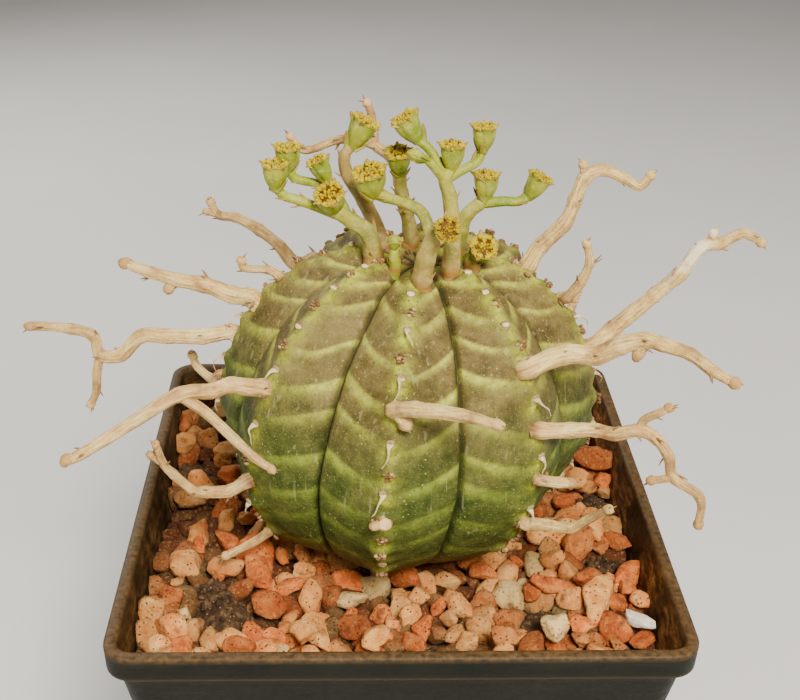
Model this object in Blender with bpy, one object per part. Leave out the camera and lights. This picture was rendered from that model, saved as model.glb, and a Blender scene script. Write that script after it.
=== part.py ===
"""Potted ribbed euphorbia: a square nursery pot, soil, a bed of red gravel with larger loose stones,
one ribbed globe-shaped plant body, old woody flower stalks on its ribs and young flower stalks at its
crown. Metres, +Z up, front towards -Y, origin at the centre of the pot's underside."""

import math
import random

import bmesh
import bpy
from mathutils import Vector

MM = 0.001

# Clearances between pieces
GAP = 0.3 * MM
FOOT_GAP = 0.45 * MM

# Pot
RIM_SIDE = 100 * MM
POT_HEIGHT = 90 * MM
BASE_SIDE = 70 * MM
WALL = 1.2 * MM
FLOOR = 1.6 * MM
CORNER = 4 * MM
LIP_WIDTH = 1.0 * MM
LIP_HEIGHT = 5 * MM
DRAIN_RADIUS = 4 * MM
DRAIN_OFFSET = 21 * MM

# Filling, as depths below the rim
BED_DEPTH = 9.5 * MM
SOIL_DEPTH = 18 * MM
BED_BUMP = 1.2 * MM
BED_CELLS = 22

# Plant body
RIBS = 8
CREST_RADIUS = 35 * MM
ABOVE_WIDEST = 32 * MM
BELOW_WIDEST = 31 * MM
WIDEST_OVER_RIM = 19 * MM
PLANT_X = 1.4 * MM
PLANT_Y = 1.5 * MM
LEAN = math.tan(math.radians(4))
FIRST_RIB = math.radians(-7.5)
CROWN_DIP = 4 * MM
CROWN_DIP_RADIUS = 16 * MM
GROOVE_LOW = 0.07
GROOVE_HIGH = 0.20
ROOT_START = -58.0
ROOT_RADIUS = 9 * MM
ROOT_DEPTH = 34 * MM

# Larger loose stones on the bed
STONES = 18
STONE_RADIUS = (3.2 * MM, 4.4 * MM)
STONE_CLEAR = 1.5 * MM
STONE_RING = 0.92

# Colours of the stalks
DRY = (0.55, 0.42, 0.3)
FRESH = (0.35, 0.45, 0.2)
MAUVE = (0.42, 0.33, 0.28)

RIM_Z = POT_HEIGHT
BED_Z = RIM_Z - BED_DEPTH
SOIL_Z = RIM_Z - SOIL_DEPTH
WIDEST_Z = RIM_Z + WIDEST_OVER_RIM

for old in list(bpy.data.objects):
    bpy.data.objects.remove(old, do_unlink=True)

parts = bpy.data.collections.new("potted_euphorbia")
helpers = bpy.data.collections.new("cutters")
bpy.context.scene.collection.children.link(parts)
bpy.context.scene.collection.children.link(helpers)


def material(name, colour, rough, metal=0.0):
    made = bpy.data.materials.new(name)
    made.use_nodes = True
    shader = made.node_tree.nodes["Principled BSDF"]
    shader.inputs["Base Color"].default_value = (*colour, 1)
    shader.inputs["Roughness"].default_value = rough
    shader.inputs["Metallic"].default_value = metal
    return made


def object_from(mesh_builder, name, colour=None, rough=0.7, helper=False, smooth=True):
    mesh = bpy.data.meshes.new(name)
    bmesh.ops.recalc_face_normals(mesh_builder, faces=mesh_builder.faces[:])
    mesh_builder.to_mesh(mesh)
    mesh_builder.free()
    made = bpy.data.objects.new(name, mesh)
    if helper:
        helpers.objects.link(made)
        made.hide_render = True
        made.display_type = "WIRE"
        return made
    parts.objects.link(made)
    made.data.materials.append(material(name + "_material", colour, rough))
    for face in made.data.polygons:
        face.use_smooth = smooth
    return made


def boolean(target, other, operation):
    step = target.modifiers.new(operation.lower() + "_" + other.name, "BOOLEAN")
    step.object = other
    step.operation = operation
    step.solver = "EXACT"
    return step


# ---------------------------------------------------------------- pot and filling


def half_side(z):
    """Half the pot's outer side at this height."""
    share = z / POT_HEIGHT
    return (BASE_SIDE + (RIM_SIDE - 2 * LIP_WIDTH - BASE_SIDE) * share) / 2


def tapered_block(z_low, z_high, half_low, half_high, corner):
    builder = bmesh.new()
    bmesh.ops.create_cube(builder, size=2)
    for vert in builder.verts:
        top = vert.co.z > 0
        half = half_high if top else half_low
        vert.co.x *= half
        vert.co.y *= half
        vert.co.z = z_high if top else z_low
    upright = [e for e in builder.edges if abs(e.verts[0].co.z - e.verts[1].co.z) > (z_high - z_low) / 2]
    bmesh.ops.bevel(builder, geom=upright, offset=corner, segments=3, affect="EDGES", profile=0.5)
    return builder


def make_pot():
    pot = object_from(
        tapered_block(0, POT_HEIGHT, half_side(0), half_side(POT_HEIGHT), CORNER),
        "pot", (0.02, 0.022, 0.02), 0.45, smooth=False,
    )
    lip_low = RIM_Z - LIP_HEIGHT
    lip_half = RIM_SIDE / 2
    lip = object_from(
        tapered_block(lip_low, RIM_Z, lip_half - 0.3 * MM, lip_half, CORNER + LIP_WIDTH),
        "pot_lip", helper=True,
    )
    hollow_low = half_side(FLOOR) - WALL
    hollow_top = RIM_Z + 1 * MM
    hollow = object_from(
        tapered_block(FLOOR, hollow_top, hollow_low, half_side(hollow_top) - WALL, CORNER - WALL),
        "pot_hollow", helper=True,
    )
    boolean(pot, lip, "UNION")
    boolean(pot, hollow, "DIFFERENCE")
    for index in range(4):
        turn = math.radians(45 + 90 * index)
        drill = bmesh.new()
        bmesh.ops.create_cone(
            drill, cap_ends=True, segments=16, radius1=DRAIN_RADIUS, radius2=DRAIN_RADIUS, depth=4 * FLOOR,
        )
        place = Vector((math.cos(turn), math.sin(turn), 0)) * DRAIN_OFFSET
        bmesh.ops.translate(drill, verts=drill.verts[:], vec=place)
        boolean(pot, object_from(drill, "drain_drill_%d" % index, helper=True), "DIFFERENCE")
    return pot


def inside_half(z):
    """Half the side of the filling at this height, clear of the pot wall."""
    return half_side(z) - WALL - GAP


# ---------------------------------------------------------------- plant body


def rib_angle(rib):
    """Azimuth of a rib crest: 0 faces the front, positive to the right."""
    return FIRST_RIB + rib * 2 * math.pi / RIBS


def crest(latitude):
    """(radius, height over the widest place) of a rib crest at this latitude in degrees."""
    angle = math.radians(latitude)
    across = max(math.cos(angle), 0.0)
    up = abs(math.sin(angle))
    if latitude >= 0:
        return CREST_RADIUS * across ** 0.86, ABOVE_WIDEST * up ** 1.06
    return CREST_RADIUS * across ** 0.95, -BELOW_WIDEST * up ** 1.05


def body_point(azimuth, latitude, extra=0.0):
    """Point on the ribbed skin; extra pushes it outwards by that distance."""
    radius, height = crest(latitude)
    root = max(0.0, (ROOT_START - latitude) / (90 + ROOT_START))
    offset = (azimuth - rib_angle(0)) / (math.pi / RIBS)
    from_crest = abs((offset + 1) % 2 - 1)
    depth = GROOVE_LOW + (GROOVE_HIGH - GROOVE_LOW) * max(0.0, latitude / 90)
    depth *= 1 - root
    radius *= 1 - depth * from_crest ** 1.6
    dip = max(0.0, 1 - radius / CROWN_DIP_RADIUS)
    if latitude > 0:
        height -= CROWN_DIP * dip ** 1.5
    if root > 0:
        start_radius, start_height = crest(ROOT_START)
        share = min(1.0, root * 2.2)
        radius = start_radius + (ROOT_RADIUS - start_radius) * math.sin(share * math.pi / 2)
        radius *= 1 if root < 0.95 else 0.0
        floor_height = RIM_Z - ROOT_DEPTH - WIDEST_Z
        height = start_height + (floor_height - start_height) * min(1.0, root / 0.9) ** 1.5
    out = radius + extra
    centre_x = PLANT_X + LEAN * max(height, start_of_lean())
    return Vector((centre_x + out * math.sin(azimuth), PLANT_Y - out * math.cos(azimuth), WIDEST_Z + height))


def start_of_lean():
    """The lean stops where the body meets the gravel, so that the root goes straight down."""
    return crest(ROOT_START)[1]


def body_normal(azimuth, latitude):
    step = 0.5
    turn = math.radians(2)
    along = body_point(azimuth, latitude + step) - body_point(azimuth, latitude - step)
    across = body_point(azimuth + turn, latitude) - body_point(azimuth - turn, latitude)
    normal = across.cross(along).normalized()
    outward = body_point(azimuth, latitude) - Vector((PLANT_X, PLANT_Y, WIDEST_Z))
    return normal if normal.dot(outward) > 0 else -normal


def body_builder(extra=0.0):
    rows = 22
    columns = RIBS * 6
    builder = bmesh.new()
    bmesh.ops.create_uvsphere(builder, u_segments=columns, v_segments=rows, radius=1.0)
    for vert in builder.verts:
        latitude = math.degrees(math.asin(max(-1.0, min(1.0, vert.co.z))))
        azimuth = math.atan2(vert.co.x, -vert.co.y) + rib_angle(0)
        if abs(latitude) > 89.9:
            vert.co = body_point(rib_angle(0), math.copysign(90.0, latitude))
            vert.co.z += math.copysign(extra, latitude)
        else:
            vert.co = body_point(azimuth, latitude, extra)
    return builder


# ---------------------------------------------------------------- stalks


def tube(name, points, radii, helper):
    """A closed round tube through the points."""
    curve = bpy.data.curves.new(name + "_path", "CURVE")
    curve.dimensions = "3D"
    curve.bevel_depth = 1.0
    curve.bevel_resolution = 2
    curve.use_fill_caps = True
    spline = curve.splines.new("POLY")
    spline.points.add(len(points) - 1)
    for place, point, radius in zip(spline.points, points, radii):
        place.co = (*point, 1)
        place.radius = radius
    carrier = bpy.data.objects.new(name + "_path", curve)
    helpers.objects.link(carrier)
    bpy.context.view_layer.update()
    graph = bpy.context.evaluated_depsgraph_get()
    mesh = bpy.data.meshes.new_from_object(carrier.evaluated_get(graph))
    builder = bmesh.new()
    builder.from_mesh(mesh)
    bmesh.ops.remove_doubles(builder, verts=builder.verts[:], dist=0.001 * MM)
    bpy.data.objects.remove(carrier, do_unlink=True)
    bpy.data.meshes.remove(mesh)
    return object_from(builder, name, helper=True) if helper else builder


def walk(start, steps):
    points = [start]
    for step in steps:
        points.append(points[-1] + Vector(step) * MM)
    return points


def tapering(count, first, last):
    return [(first + (last - first) * i / (count - 1)) * MM for i in range(count)]


def make_stalk(name, rib, latitude, steps, thick, thin, forks=(), side=0.0, colour=DRY, cups=()):
    """A stalk that stands off the skin on a rib. Steps are (right, back, up) in millimetres from its foot.
    A fork is (index of the point it leaves, steps, its first and last radius). A cup is (point, direction,
    radius, length) where point is -1 for the tip or (fork number, -1) for a fork's tip."""
    azimuth = rib_angle(rib) + math.radians(side)
    normal = body_normal(azimuth, latitude)
    foot = body_point(azimuth, latitude) + normal * FOOT_GAP
    knee = foot + normal * thick * 0.9 * MM
    trunk = [foot] + walk(knee, steps)
    radii = tapering(len(trunk), thick, thin)
    stalk = object_from(tube(name, trunk, radii, False), name, colour, 0.7)
    tips = [(trunk[-1], trunk[-2])]
    for number, (leaves, fork_steps, first, last) in enumerate(forks):
        fork = walk(trunk[leaves + 1], fork_steps)
        other = tube("%s_fork_%d" % (name, number), fork, tapering(len(fork), first, last), True)
        boolean(stalk, other, "UNION")
        tips.append((fork[-1], fork[-2]))
    for number, (tip, direction, radius, length) in enumerate(cups):
        end = tips[tip][0]
        boolean(stalk, cup("%s_cup_%d" % (name, number), end, direction, radius, length), "UNION")
    return stalk


def cup(name, end, direction, radius, length):
    """A bell-shaped flower cup that swallows the end of its stalk."""
    axis = Vector(direction).normalized()
    profile = ((-0.16, 0.30), (0.12, 0.72), (0.55, 0.86), (0.86, 0.80), (1.0, 1.0))
    builder = bmesh.new()
    segments = 10
    bmesh.ops.create_circle(builder, cap_ends=True, segments=segments, radius=profile[0][1] * radius * MM)
    bmesh.ops.translate(builder, verts=builder.verts[:], vec=(0, 0, profile[0][0] * length * MM))
    ring = builder.faces[:]
    for level, (share, width) in enumerate(profile[1:]):
        raised = bmesh.ops.extrude_face_region(builder, geom=ring)
        if level > 0:
            bmesh.ops.delete(builder, geom=ring, context="FACES_ONLY")
        new_faces = [g for g in raised["geom"] if isinstance(g, bmesh.types.BMFace)]
        new_verts = [g for g in raised["geom"] if isinstance(g, bmesh.types.BMVert)]
        for vert in new_verts:
            flat = Vector((vert.co.x, vert.co.y, 0)).normalized() * width * radius * MM
            vert.co = Vector((flat.x, flat.y, share * length * MM))
        ring = new_faces
    turn = Vector((0, 0, 1)).rotation_difference(axis).to_matrix().to_4x4()
    bmesh.ops.transform(builder, matrix=turn, verts=builder.verts[:])
    bmesh.ops.translate(builder, verts=builder.verts[:], vec=end)
    return object_from(builder, name, helper=True)



def make_dry_stalks():
    """Earlier years' flower stalks, gone woody. Ribs count from the front one round by the right."""
    make_stalk("dry_stalk_left_rear_high", 5, 33, [(-3.5, -1, -0.5), (-3.5, 1.5, 3.5), (-4, 3, 2),
               (-5, 4, 1), (-4, 4, -1), (-2, 1, 3)], 1.7, 0.7, [(5, [(-3, 1, 0.5)], 0.8, 0.6)])
    make_stalk("dry_stalk_left_small", 6, 48, [(-2, 0.5, 1), (-4.5, 1, 0), (-0.5, 0, 2)], 1.0, 0.6)
    make_stalk("dry_stalk_left_thick", 6, 36, [(-3, -2, 1.5), (-5, 1, 1.5), (-5, 0, 1), (-5, 1, 1),
               (-5, 0, 2)], 2.1, 0.9, [(3, [(-2, 0, -2)], 1.1, 0.7)])
    make_stalk("dry_stalk_left_long", 6, 22, [(-5, -2, 0), (-6.5, 0, 0), (-5, 0, 0), (-4, 0, -4), (-4, 0, 0),
               (-1, 0, 4), (-4, 0, 1.5), (-5, 0, 0.5), (-3, 0, 0)], 1.7, 0.8,
               [(5, [(-1, 0, -4), (-0.5, 0, -4), (-1.5, 0, -3.5)], 1.0, 0.7)])
    make_stalk("dry_stalk_left_rear_low", 6, 5, [(-2, 2, -2), (-3, 3, 1), (-1, 0, 3)], 1.1, 0.7)
    make_stalk("dry_stalk_left_front_fork", 7, 26, [(-2, -1.5, 1), (-3, -1, 1), (-3, -2, 0), (-5, -3, 1),
               (-7.5, 0, -5), (-8.5, -4, -4), (-3, -1, -1)], 1.7, 0.9,
               [(4, [(4.2, 1, -4.2), (4.6, -1.5, -4.2), (3.6, -2, -2.5), (3.2, -1.5, -1.5)], 1.0, 0.6)])
    make_stalk("dry_stalk_left_low", 7, -8, [(-3, 0, -2), (-4, -1, 0.5), (-2, -1, 1), (-3, -1, 4),
               (-1.5, -1, 3), (-1, -1, 5)], 1.4, 0.6, [(5, [(-2.5, 0, 2)], 0.7, 0.5)])
    make_stalk("dry_stalk_left_bottom", 7, -34, [(-3, 0, -2.5), (-4, -2, -1), (-1.5, -1, 0)], 1.1, 0.6)
    make_stalk("dry_stalk_front", 0, 31, [(3, -3, 2), (7.5, -4.5, 1.5), (5.5, -3, 0)], 1.7, 1.2,
               [(0, [(2, -2, -2)], 1.2, 0.8)])
    make_stalk("dry_stump_front", 0, -6, [(0.3, -1, 0.5)], 1.3, 1.3)
    make_stalk("dry_stalk_right_high", 2, 60, [(2, 1, 3), (4, 0, 4.5), (1.5, 0, 4.5), (1.5, 0.5, 4),
               (3, 0, 1.5), (4, 0, -1.5), (3, 0, -1.5), (2, 0, 2.5)], 1.7, 0.7, [(4, [(-0.7, 0, 3)], 0.9, 0.6)], side=5)
    make_stalk("dry_stalk_right_slim", 2, 46, [(0.5, -2, 1), (2, -1.5, 4), (1, -0.5, 4), (-1, 0, 4)],
               1.2, 0.7)
    make_stalk("dry_stalk_right_long", 2, 26, [(4, 3, 2), (7, 0, 7), (4, -1, 5), (3, 0, 5), (2, 0, 1),
               (1.5, 0, 0), (3.5, 0, 2), (2, 0, -0.5), (2.5, 0, -1.5)], 1.7, 0.7, [(5, [(0, 0, 2.5)], 0.9, 0.6)])
    make_stalk("dry_stalk_right_thick", 1, 38, [(5.5, 1, 2), (5.5, -1, 0.5), (3.5, -2, 3), (3.5, -2, 2),
               (2.5, -1.5, 0), (4, -2.5, -0.5), (3.5, -2, -2), (3.5, -2.5, -1)], 2.0, 0.8,
               [(4, [(-1, 0.5, -3.5)], 1.2, 0.8)])
    make_stalk("dry_stalk_right_drooping", 1, 19, [(5, 1, -0.5), (4.5, 0, 0), (3, -2, 0.5), (3.5, -2, 2),
               (2.5, -2, -0.5), (2, -1.5, -2.5), (1, -1, -3.5), (4, -3, -2), (0.5, 0, -6)], 1.5, 0.7,
               [(4, [(0.5, 0, 2), (1.5, -2, 2.5), (2, -1, 2)], 0.9, 0.6), (7, [(-4, 0.5, -1)], 0.8, 0.6)])
    make_stalk("dry_stub_right", 1, 2, [(3.5, 1.5, -1.5), (3, 0.5, -0.5)], 1.2, 0.9)
    make_stalk("dry_stalk_right_low", 1, -17, [(4.5, 3, -2.5), (4, -1, 0), (3, -1, 3), (3, -2, 3.5)],
               1.4, 0.7)
    make_stalk("dry_stalk_crown_rear", 4, 73, [(-1, 0, 4), (-1, 0, 4.5), (-1.5, 0, 4.5), (-3, 0, 2.5),
               (-0.5, 0, 2), (-0.5, 0, 4), (-1, 0, 2.5)], 1.5, 0.6,
               [(4, [(-3, 0, 1), (-4, 0, 0), (-6, 0, -2), (-3, 0, 3)], 1.0, 0.6)], side=14)
    make_stalk("dry_stalk_back_fork", 4, 24, [(0, 5, 1), (1, 6, 1), (2, 4, -2)], 1.6, 0.8,
               [(2, [(-4, 3, 2)], 0.9, 0.6)])
    make_stalk("dry_stalk_back_right", 3, 8, [(3, 3, 0), (4, 3, 2), (2, 3, 3)], 1.4, 0.7)
    make_stalk("dry_stalk_back_left", 5, 2, [(-3, 3, -1), (-3, 3, 0.5), (-1, 3, 3)], 1.3, 0.7)


def make_fresh_stalks():
    """This year's branched flower stalks, with a bell-shaped flower cup at each tip."""
    tall = (0, 0, 1)
    make_stalk("flower_stalk_left", 6, 76, [(-1, -0.5, 4), (-3, -0.5, 2.5), (-3, -1, 2.5)], 1.9, 1.2,
               [(2, [(-2.5, 0, 1), (-6, 0, 2.5), (-3, 0, 1), (-1.5, 0, 1.5)], 0.9, 0.8),
                (2, [(-3, 2, 4), (-2.5, 1, 1.5), (-4, 0, 1), (-1.5, 0, 1.5)], 0.9, 0.8),
                (2, [(-2.5, 1.5, 4.5), (-1.5, 0.5, 2)], 0.9, 0.8)],
               side=27, colour=FRESH,
               cups=((0, (-0.2, -0.6, 1), 2.7, 4.4), (1, tall, 2.4, 4.4), (2, tall, 2.4, 4.4),
                     (3, (-0.5, 0, 1), 2.0, 4.4)))
    make_stalk("flower_stalk_mauve", 6, 80, [(-3.5, 0, 8), (-3, 0, 5), (-0.5, 0, 3.5), (1.5, 0, 2)], 1.6, 0.9,
               side=-10, colour=MAUVE, cups=((0, (0.5, 0, 1), 2.6, 5.0),))
    make_stalk("flower_stalk_pale", 4, 82, [(-1, -1, 6), (-1, -1.5, 4), (-0.5, -1, 4)], 1.7, 1.0,
               side=27, colour=FRESH, cups=((0, (-0.1, -0.3, 1), 2.3, 4.6),))
    make_stalk("flower_stalk_front", 0, 71, [(0.5, 0, 3.5), (1, 0, 3), (1.5, -0.5, 2)], 2.0, 1.4,
               [(2, [(-1.5, 2.5, 4), (-2.5, 2.5, 1), (-4, 2, 0.5), (-2, 0, 0.5)], 1.1, 0.9)],
               side=5, colour=FRESH, cups=((0, (0.3, -1, 0.7), 2.4, 3.4), (1, (-0.2, -0.2, 1), 3.0, 4.6)))
    make_stalk("flower_stalk_right_tall", 1, 76, [(0, 1, 6), (-0.5, 1.5, 5.5), (-1, 0, 3.5), (1, 0.5, 2)],
               1.8, 1.0,
               [(3, [(-2.5, 1.5, 4.5), (-2.5, 0.5, 2)], 0.9, 0.8),
                (3, [(-2, -0.5, 2.5), (-1.5, -0.5, 1.5)], 0.9, 0.8),
                (3, [(2.5, 1.5, 1), (3, 1, 1.5), (1, 0.5, 2)], 0.9, 0.8)],
               side=-7, colour=FRESH,
               cups=((0, tall, 2.3, 4.2), (1, (-0.5, 0, 0.8), 2.4, 4.6), (2, (-1, 0, 0.4), 1.3, 3.4),
                     (3, tall, 2.2, 4.2)))
    make_stalk("flower_stalk_right_low", 2, 80, [(0.5, -0.5, 3.5), (1, 0, 3), (2, 0, 2), (1, 0, 1)], 1.6, 1.1,
               [(3, [(4, 0, 0.5), (3, 0, 0), (2, 0, 1)], 1.0, 0.8)],
               side=15, colour=FRESH, cups=((0, tall, 2.4, 4.6), (1, (0.5, 0, 1), 2.2, 4.2)))
    make_stalk("flower_on_crown_right", 1, 74, [(1, 0, 0.8)], 1.5, 1.2,
               side=27, colour=FRESH, cups=((0, (0.2, -0.8, 1), 2.6, 3.6),))
    make_stalk("flower_bud_crown", 7, 77, [(-0.3, -0.3, 2), (0, 0, 1.5)], 1.2, 0.8,
               side=17, colour=FRESH, cups=((0, tall, 1.5, 2.6),))


# ---------------------------------------------------------------- filling and stones


def stone_places():
    """(x, y, radius, squash, turn) of the larger loose stones on the bed, clear of the plant and the wall."""
    draw = random.Random(11)
    room = inside_half(BED_Z)
    found = []
    tries = 0
    while len(found) < STONES and tries < 4000:
        tries += 1
        radius = draw.uniform(*STONE_RADIUS)
        x = draw.uniform(-1, 1) * (room - radius - STONE_CLEAR)
        y = draw.uniform(-1, 1) * (room - radius - STONE_CLEAR)
        from_plant = math.hypot(x - PLANT_X, y - PLANT_Y)
        if from_plant < STONE_RING * CREST_RADIUS + radius:
            continue
        if any(math.hypot(x - other[0], y - other[1]) < radius + other[2] + STONE_CLEAR for other in found):
            continue
        found.append((x, y, radius, draw.uniform(0.55, 0.75), draw.uniform(0, math.pi)))
    return found


def make_stone(index, place):
    x, y, radius, squash, turn = place
    draw = random.Random(100 + index)
    builder = bmesh.new()
    bmesh.ops.create_icosphere(builder, subdivisions=2, radius=1.0)
    along = 1.0
    across = draw.uniform(0.7, 0.9)
    for vert in builder.verts:
        lump = 1 - 0.12 * draw.random()
        local = Vector((vert.co.x * along, vert.co.y * across, vert.co.z * squash)) * radius * lump
        local.z = max(local.z, -0.8 * squash * radius)
        spun = Vector((
            local.x * math.cos(turn) - local.y * math.sin(turn),
            local.x * math.sin(turn) + local.y * math.cos(turn),
            local.z,
        ))
        vert.co = spun + Vector((x, y, BED_Z + GAP + 0.8 * squash * radius))
    return object_from(builder, "stone_%02d" % (index + 1), (0.62, 0.22, 0.12), 0.85)


def make_bed(stones):
    """The gravel as one lumpy slab with a hole for the plant's root."""
    draw = random.Random(5)
    half = inside_half(BED_Z)
    low = SOIL_Z + GAP
    low_half = inside_half(low)
    builder = bmesh.new()
    bmesh.ops.create_grid(builder, x_segments=BED_CELLS, y_segments=BED_CELLS, size=half)
    cell = 2 * half / BED_CELLS
    edge = half - cell / 2
    for vert in builder.verts:
        under_stone = any(
            math.hypot(vert.co.x - s[0], vert.co.y - s[1]) < s[2] + 1.5 * cell for s in stones
        )
        lump = draw.random() * BED_BUMP
        from_plant = math.hypot(vert.co.x - PLANT_X, vert.co.y - PLANT_Y)
        near_plant = from_plant < 0.75 * CREST_RADIUS
        on_edge = max(abs(vert.co.x), abs(vert.co.y)) > edge
        vert.co.z = BED_Z - (0 if under_stone or near_plant or on_edge else lump)
    lower = bmesh.ops.extrude_face_region(builder, geom=builder.faces[:])
    for item in lower["geom"]:
        if isinstance(item, bmesh.types.BMVert):
            item.co.x *= low_half / half
            item.co.y *= low_half / half
            item.co.z = low
    bed = object_from(builder, "gravel_bed", (0.6, 0.24, 0.14), 0.9)
    trim_corners(bed, low - 2 * MM, RIM_Z)
    return bed


def trim_corners(target, z_low, z_high):
    keep = object_from(
        tapered_block(z_low, z_high, inside_half(z_low), inside_half(z_high), CORNER - WALL - GAP),
        target.name + "_outline", helper=True,
    )
    boolean(target, keep, "INTERSECT")


def make_filling():
    stones = stone_places()
    soil_low = FLOOR + GAP
    soil = object_from(
        tapered_block(soil_low, SOIL_Z, inside_half(soil_low), inside_half(SOIL_Z), CORNER - WALL - GAP),
        "soil", (0.03, 0.022, 0.016), 0.95, smooth=False,
    )
    bed = make_bed(stones)
    room = object_from(body_builder(GAP), "plant_room", helper=True)
    boolean(bed, room, "DIFFERENCE")
    boolean(soil, room, "DIFFERENCE")
    for index, place in enumerate(stones):
        make_stone(index, place)


make_pot()
make_filling()
object_from(body_builder(), "plant_body", (0.13, 0.17, 0.06), 0.4)
make_dry_stalks()
make_fresh_stalks()
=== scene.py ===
"""Looks of the potted ribbed euphorbia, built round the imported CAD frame. Metres, +Z up, front towards -Y."""

import math
import random

import bmesh
import bpy
import numpy as np
from mathutils import Matrix, Vector


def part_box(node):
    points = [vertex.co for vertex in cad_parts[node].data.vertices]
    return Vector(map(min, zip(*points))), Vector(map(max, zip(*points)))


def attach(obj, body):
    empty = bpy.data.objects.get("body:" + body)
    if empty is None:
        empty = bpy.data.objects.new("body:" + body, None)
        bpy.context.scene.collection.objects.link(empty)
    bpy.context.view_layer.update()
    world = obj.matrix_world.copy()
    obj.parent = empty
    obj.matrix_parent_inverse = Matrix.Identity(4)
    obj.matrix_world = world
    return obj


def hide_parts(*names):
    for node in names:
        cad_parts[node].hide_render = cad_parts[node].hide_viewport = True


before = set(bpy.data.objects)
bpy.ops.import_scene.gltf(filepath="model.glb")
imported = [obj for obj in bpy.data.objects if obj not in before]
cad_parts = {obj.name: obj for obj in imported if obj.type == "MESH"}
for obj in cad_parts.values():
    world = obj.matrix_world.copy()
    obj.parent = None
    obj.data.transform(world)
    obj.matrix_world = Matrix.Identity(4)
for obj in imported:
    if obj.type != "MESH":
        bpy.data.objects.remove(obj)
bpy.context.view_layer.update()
MM = 0.001
FULL_TURN = 2 * math.pi

# Sizes taken from the frame
POT_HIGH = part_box("pot")[1]
RIM_Z = POT_HIGH.z
RIM_HALF = POT_HIGH.x
BED_Z = RIM_Z - 9.5 * MM  # top of the CAD's gravel bed
SOIL_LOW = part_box("soil")[0].z

# The same plant dimensions as the CAD
RIBS = 8
CREST_RADIUS = 35 * MM
ABOVE_WIDEST = 32 * MM
BELOW_WIDEST = 31 * MM
WIDEST_Z = RIM_Z + 19 * MM
PLANT_X = 1.4 * MM
PLANT_Y = 1.5 * MM
LEAN = math.tan(math.radians(4))
FIRST_RIB = math.radians(-7.5)
CROWN_DIP = 4 * MM
CROWN_DIP_RADIUS = 16 * MM
GROOVE_LOW = 0.07
GROOVE_HIGH = 0.20
LOWEST_LATITUDE = -62.0
LEAN_ENDS_AT = -58.0  # latitude under which the root goes straight down
SKIN_ARC = 33  # millimetres of skin for each radian of latitude, about

# ---------------------------------------------------------------- noise


def lattice(i, j, k, seed):
    """A repeatable random number from -1 to 1 for each whole grid point."""
    n = i.astype(np.uint64) * np.uint64(73856093)
    n ^= j.astype(np.uint64) * np.uint64(19349663)
    n ^= k.astype(np.uint64) * np.uint64(83492791)
    n ^= np.uint64(seed * 2654435761 % 4294967296)
    mask = np.uint64(0xFFFFFFFF)
    n &= mask
    n = ((n ^ (n >> np.uint64(15))) * np.uint64(2246822519)) & mask
    n = ((n ^ (n >> np.uint64(13))) * np.uint64(3266489917)) & mask
    n ^= n >> np.uint64(16)
    return n.astype(float) / 2147483647.5 - 1


def value_noise(points, seed):
    """A smooth number from -1 to 1 at each point."""
    base = np.floor(points).astype(np.int64)
    part = points - base
    part = part * part * part * (part * (part * 6 - 15) + 10)
    total = np.zeros(len(points))
    for corner in range(8):
        bits = np.array([corner & 1, corner >> 1 & 1, corner >> 2 & 1])
        weight = np.prod(np.where(bits, part, 1 - part), axis=1)
        total += weight * lattice(*(base + bits).T, seed)
    return total


def fbm(points, octaves, seed):
    """Noise in several sizes, each half as strong as the last."""
    total = np.zeros(len(points))
    size = 1.0
    for octave in range(octaves):
        total += size * value_noise(points * 2.0 ** octave + 17.3 * octave, seed + octave)
        size *= 0.5
    return total / (2 - 2.0 ** (1 - octaves))


def smoothstep(low, high, value):
    share = np.clip((value - low) / (high - low), 0, 1)
    return share * share * (3 - 2 * share)


# ---------------------------------------------------------------- mesh pieces


class Soup:
    """Meshes gathered into one piece, with a few numbers for each point that the materials read."""

    def __init__(self):
        self.points = []
        self.faces = []
        self.values = {}
        self.count = 0

    def add(self, points, faces, **values):
        self.points.append(np.asarray(points, float))
        for block in faces:
            self.faces.append(np.asarray(block, np.int64) + self.count)
        for name, value in values.items():
            column = np.broadcast_to(np.asarray(value, float), (len(points),))
            self.values.setdefault(name, []).append((self.count, column))
        self.count += len(points)

    def build(self, name, material, slot, replaces=()):
        mesh = bpy.data.meshes.new(name)
        points = np.concatenate(self.points)
        mesh.vertices.add(len(points))
        mesh.vertices.foreach_set("co", points.ravel())
        loops = np.concatenate([block.ravel() for block in self.faces])
        sizes = np.concatenate([np.full(len(block), block.shape[1]) for block in self.faces])
        starts = np.concatenate([[0], np.cumsum(sizes)[:-1]])
        mesh.loops.add(len(loops))
        mesh.loops.foreach_set("vertex_index", loops)
        mesh.polygons.add(len(sizes))
        mesh.polygons.foreach_set("loop_start", starts)
        mesh.update(calc_edges=True)
        for key, blocks in self.values.items():
            column = np.zeros(len(points))
            for start, values in blocks:
                column[start : start + len(values)] = values
            layer = mesh.attributes.new(key, "FLOAT", "POINT")
            layer.data.foreach_set("value", column.astype(np.float32))
        mesh.polygons.foreach_set("use_smooth", np.full(len(sizes), True))
        mesh.materials.append(material)
        piece = add_object(name, mesh)
        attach(piece, "root")
        if replaces:
            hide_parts(*replaces)
        return piece


def add_object(name, data):
    made = bpy.data.objects.new(name, data)
    bpy.context.scene.collection.objects.link(made)
    return made


def grid_faces(rows, columns, wrap):
    """Quads of a grid whose points are listed row by row."""
    row = np.arange(rows - 1)[:, None]
    column = np.arange(columns if wrap else columns - 1)[None, :]
    after = (column + 1) % columns
    near = row * columns
    far = (row + 1) * columns
    quads = [near + column, near + after, far + after, far + column]
    return np.stack([q.ravel() for q in np.broadcast_arrays(*quads)], axis=1)


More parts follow.
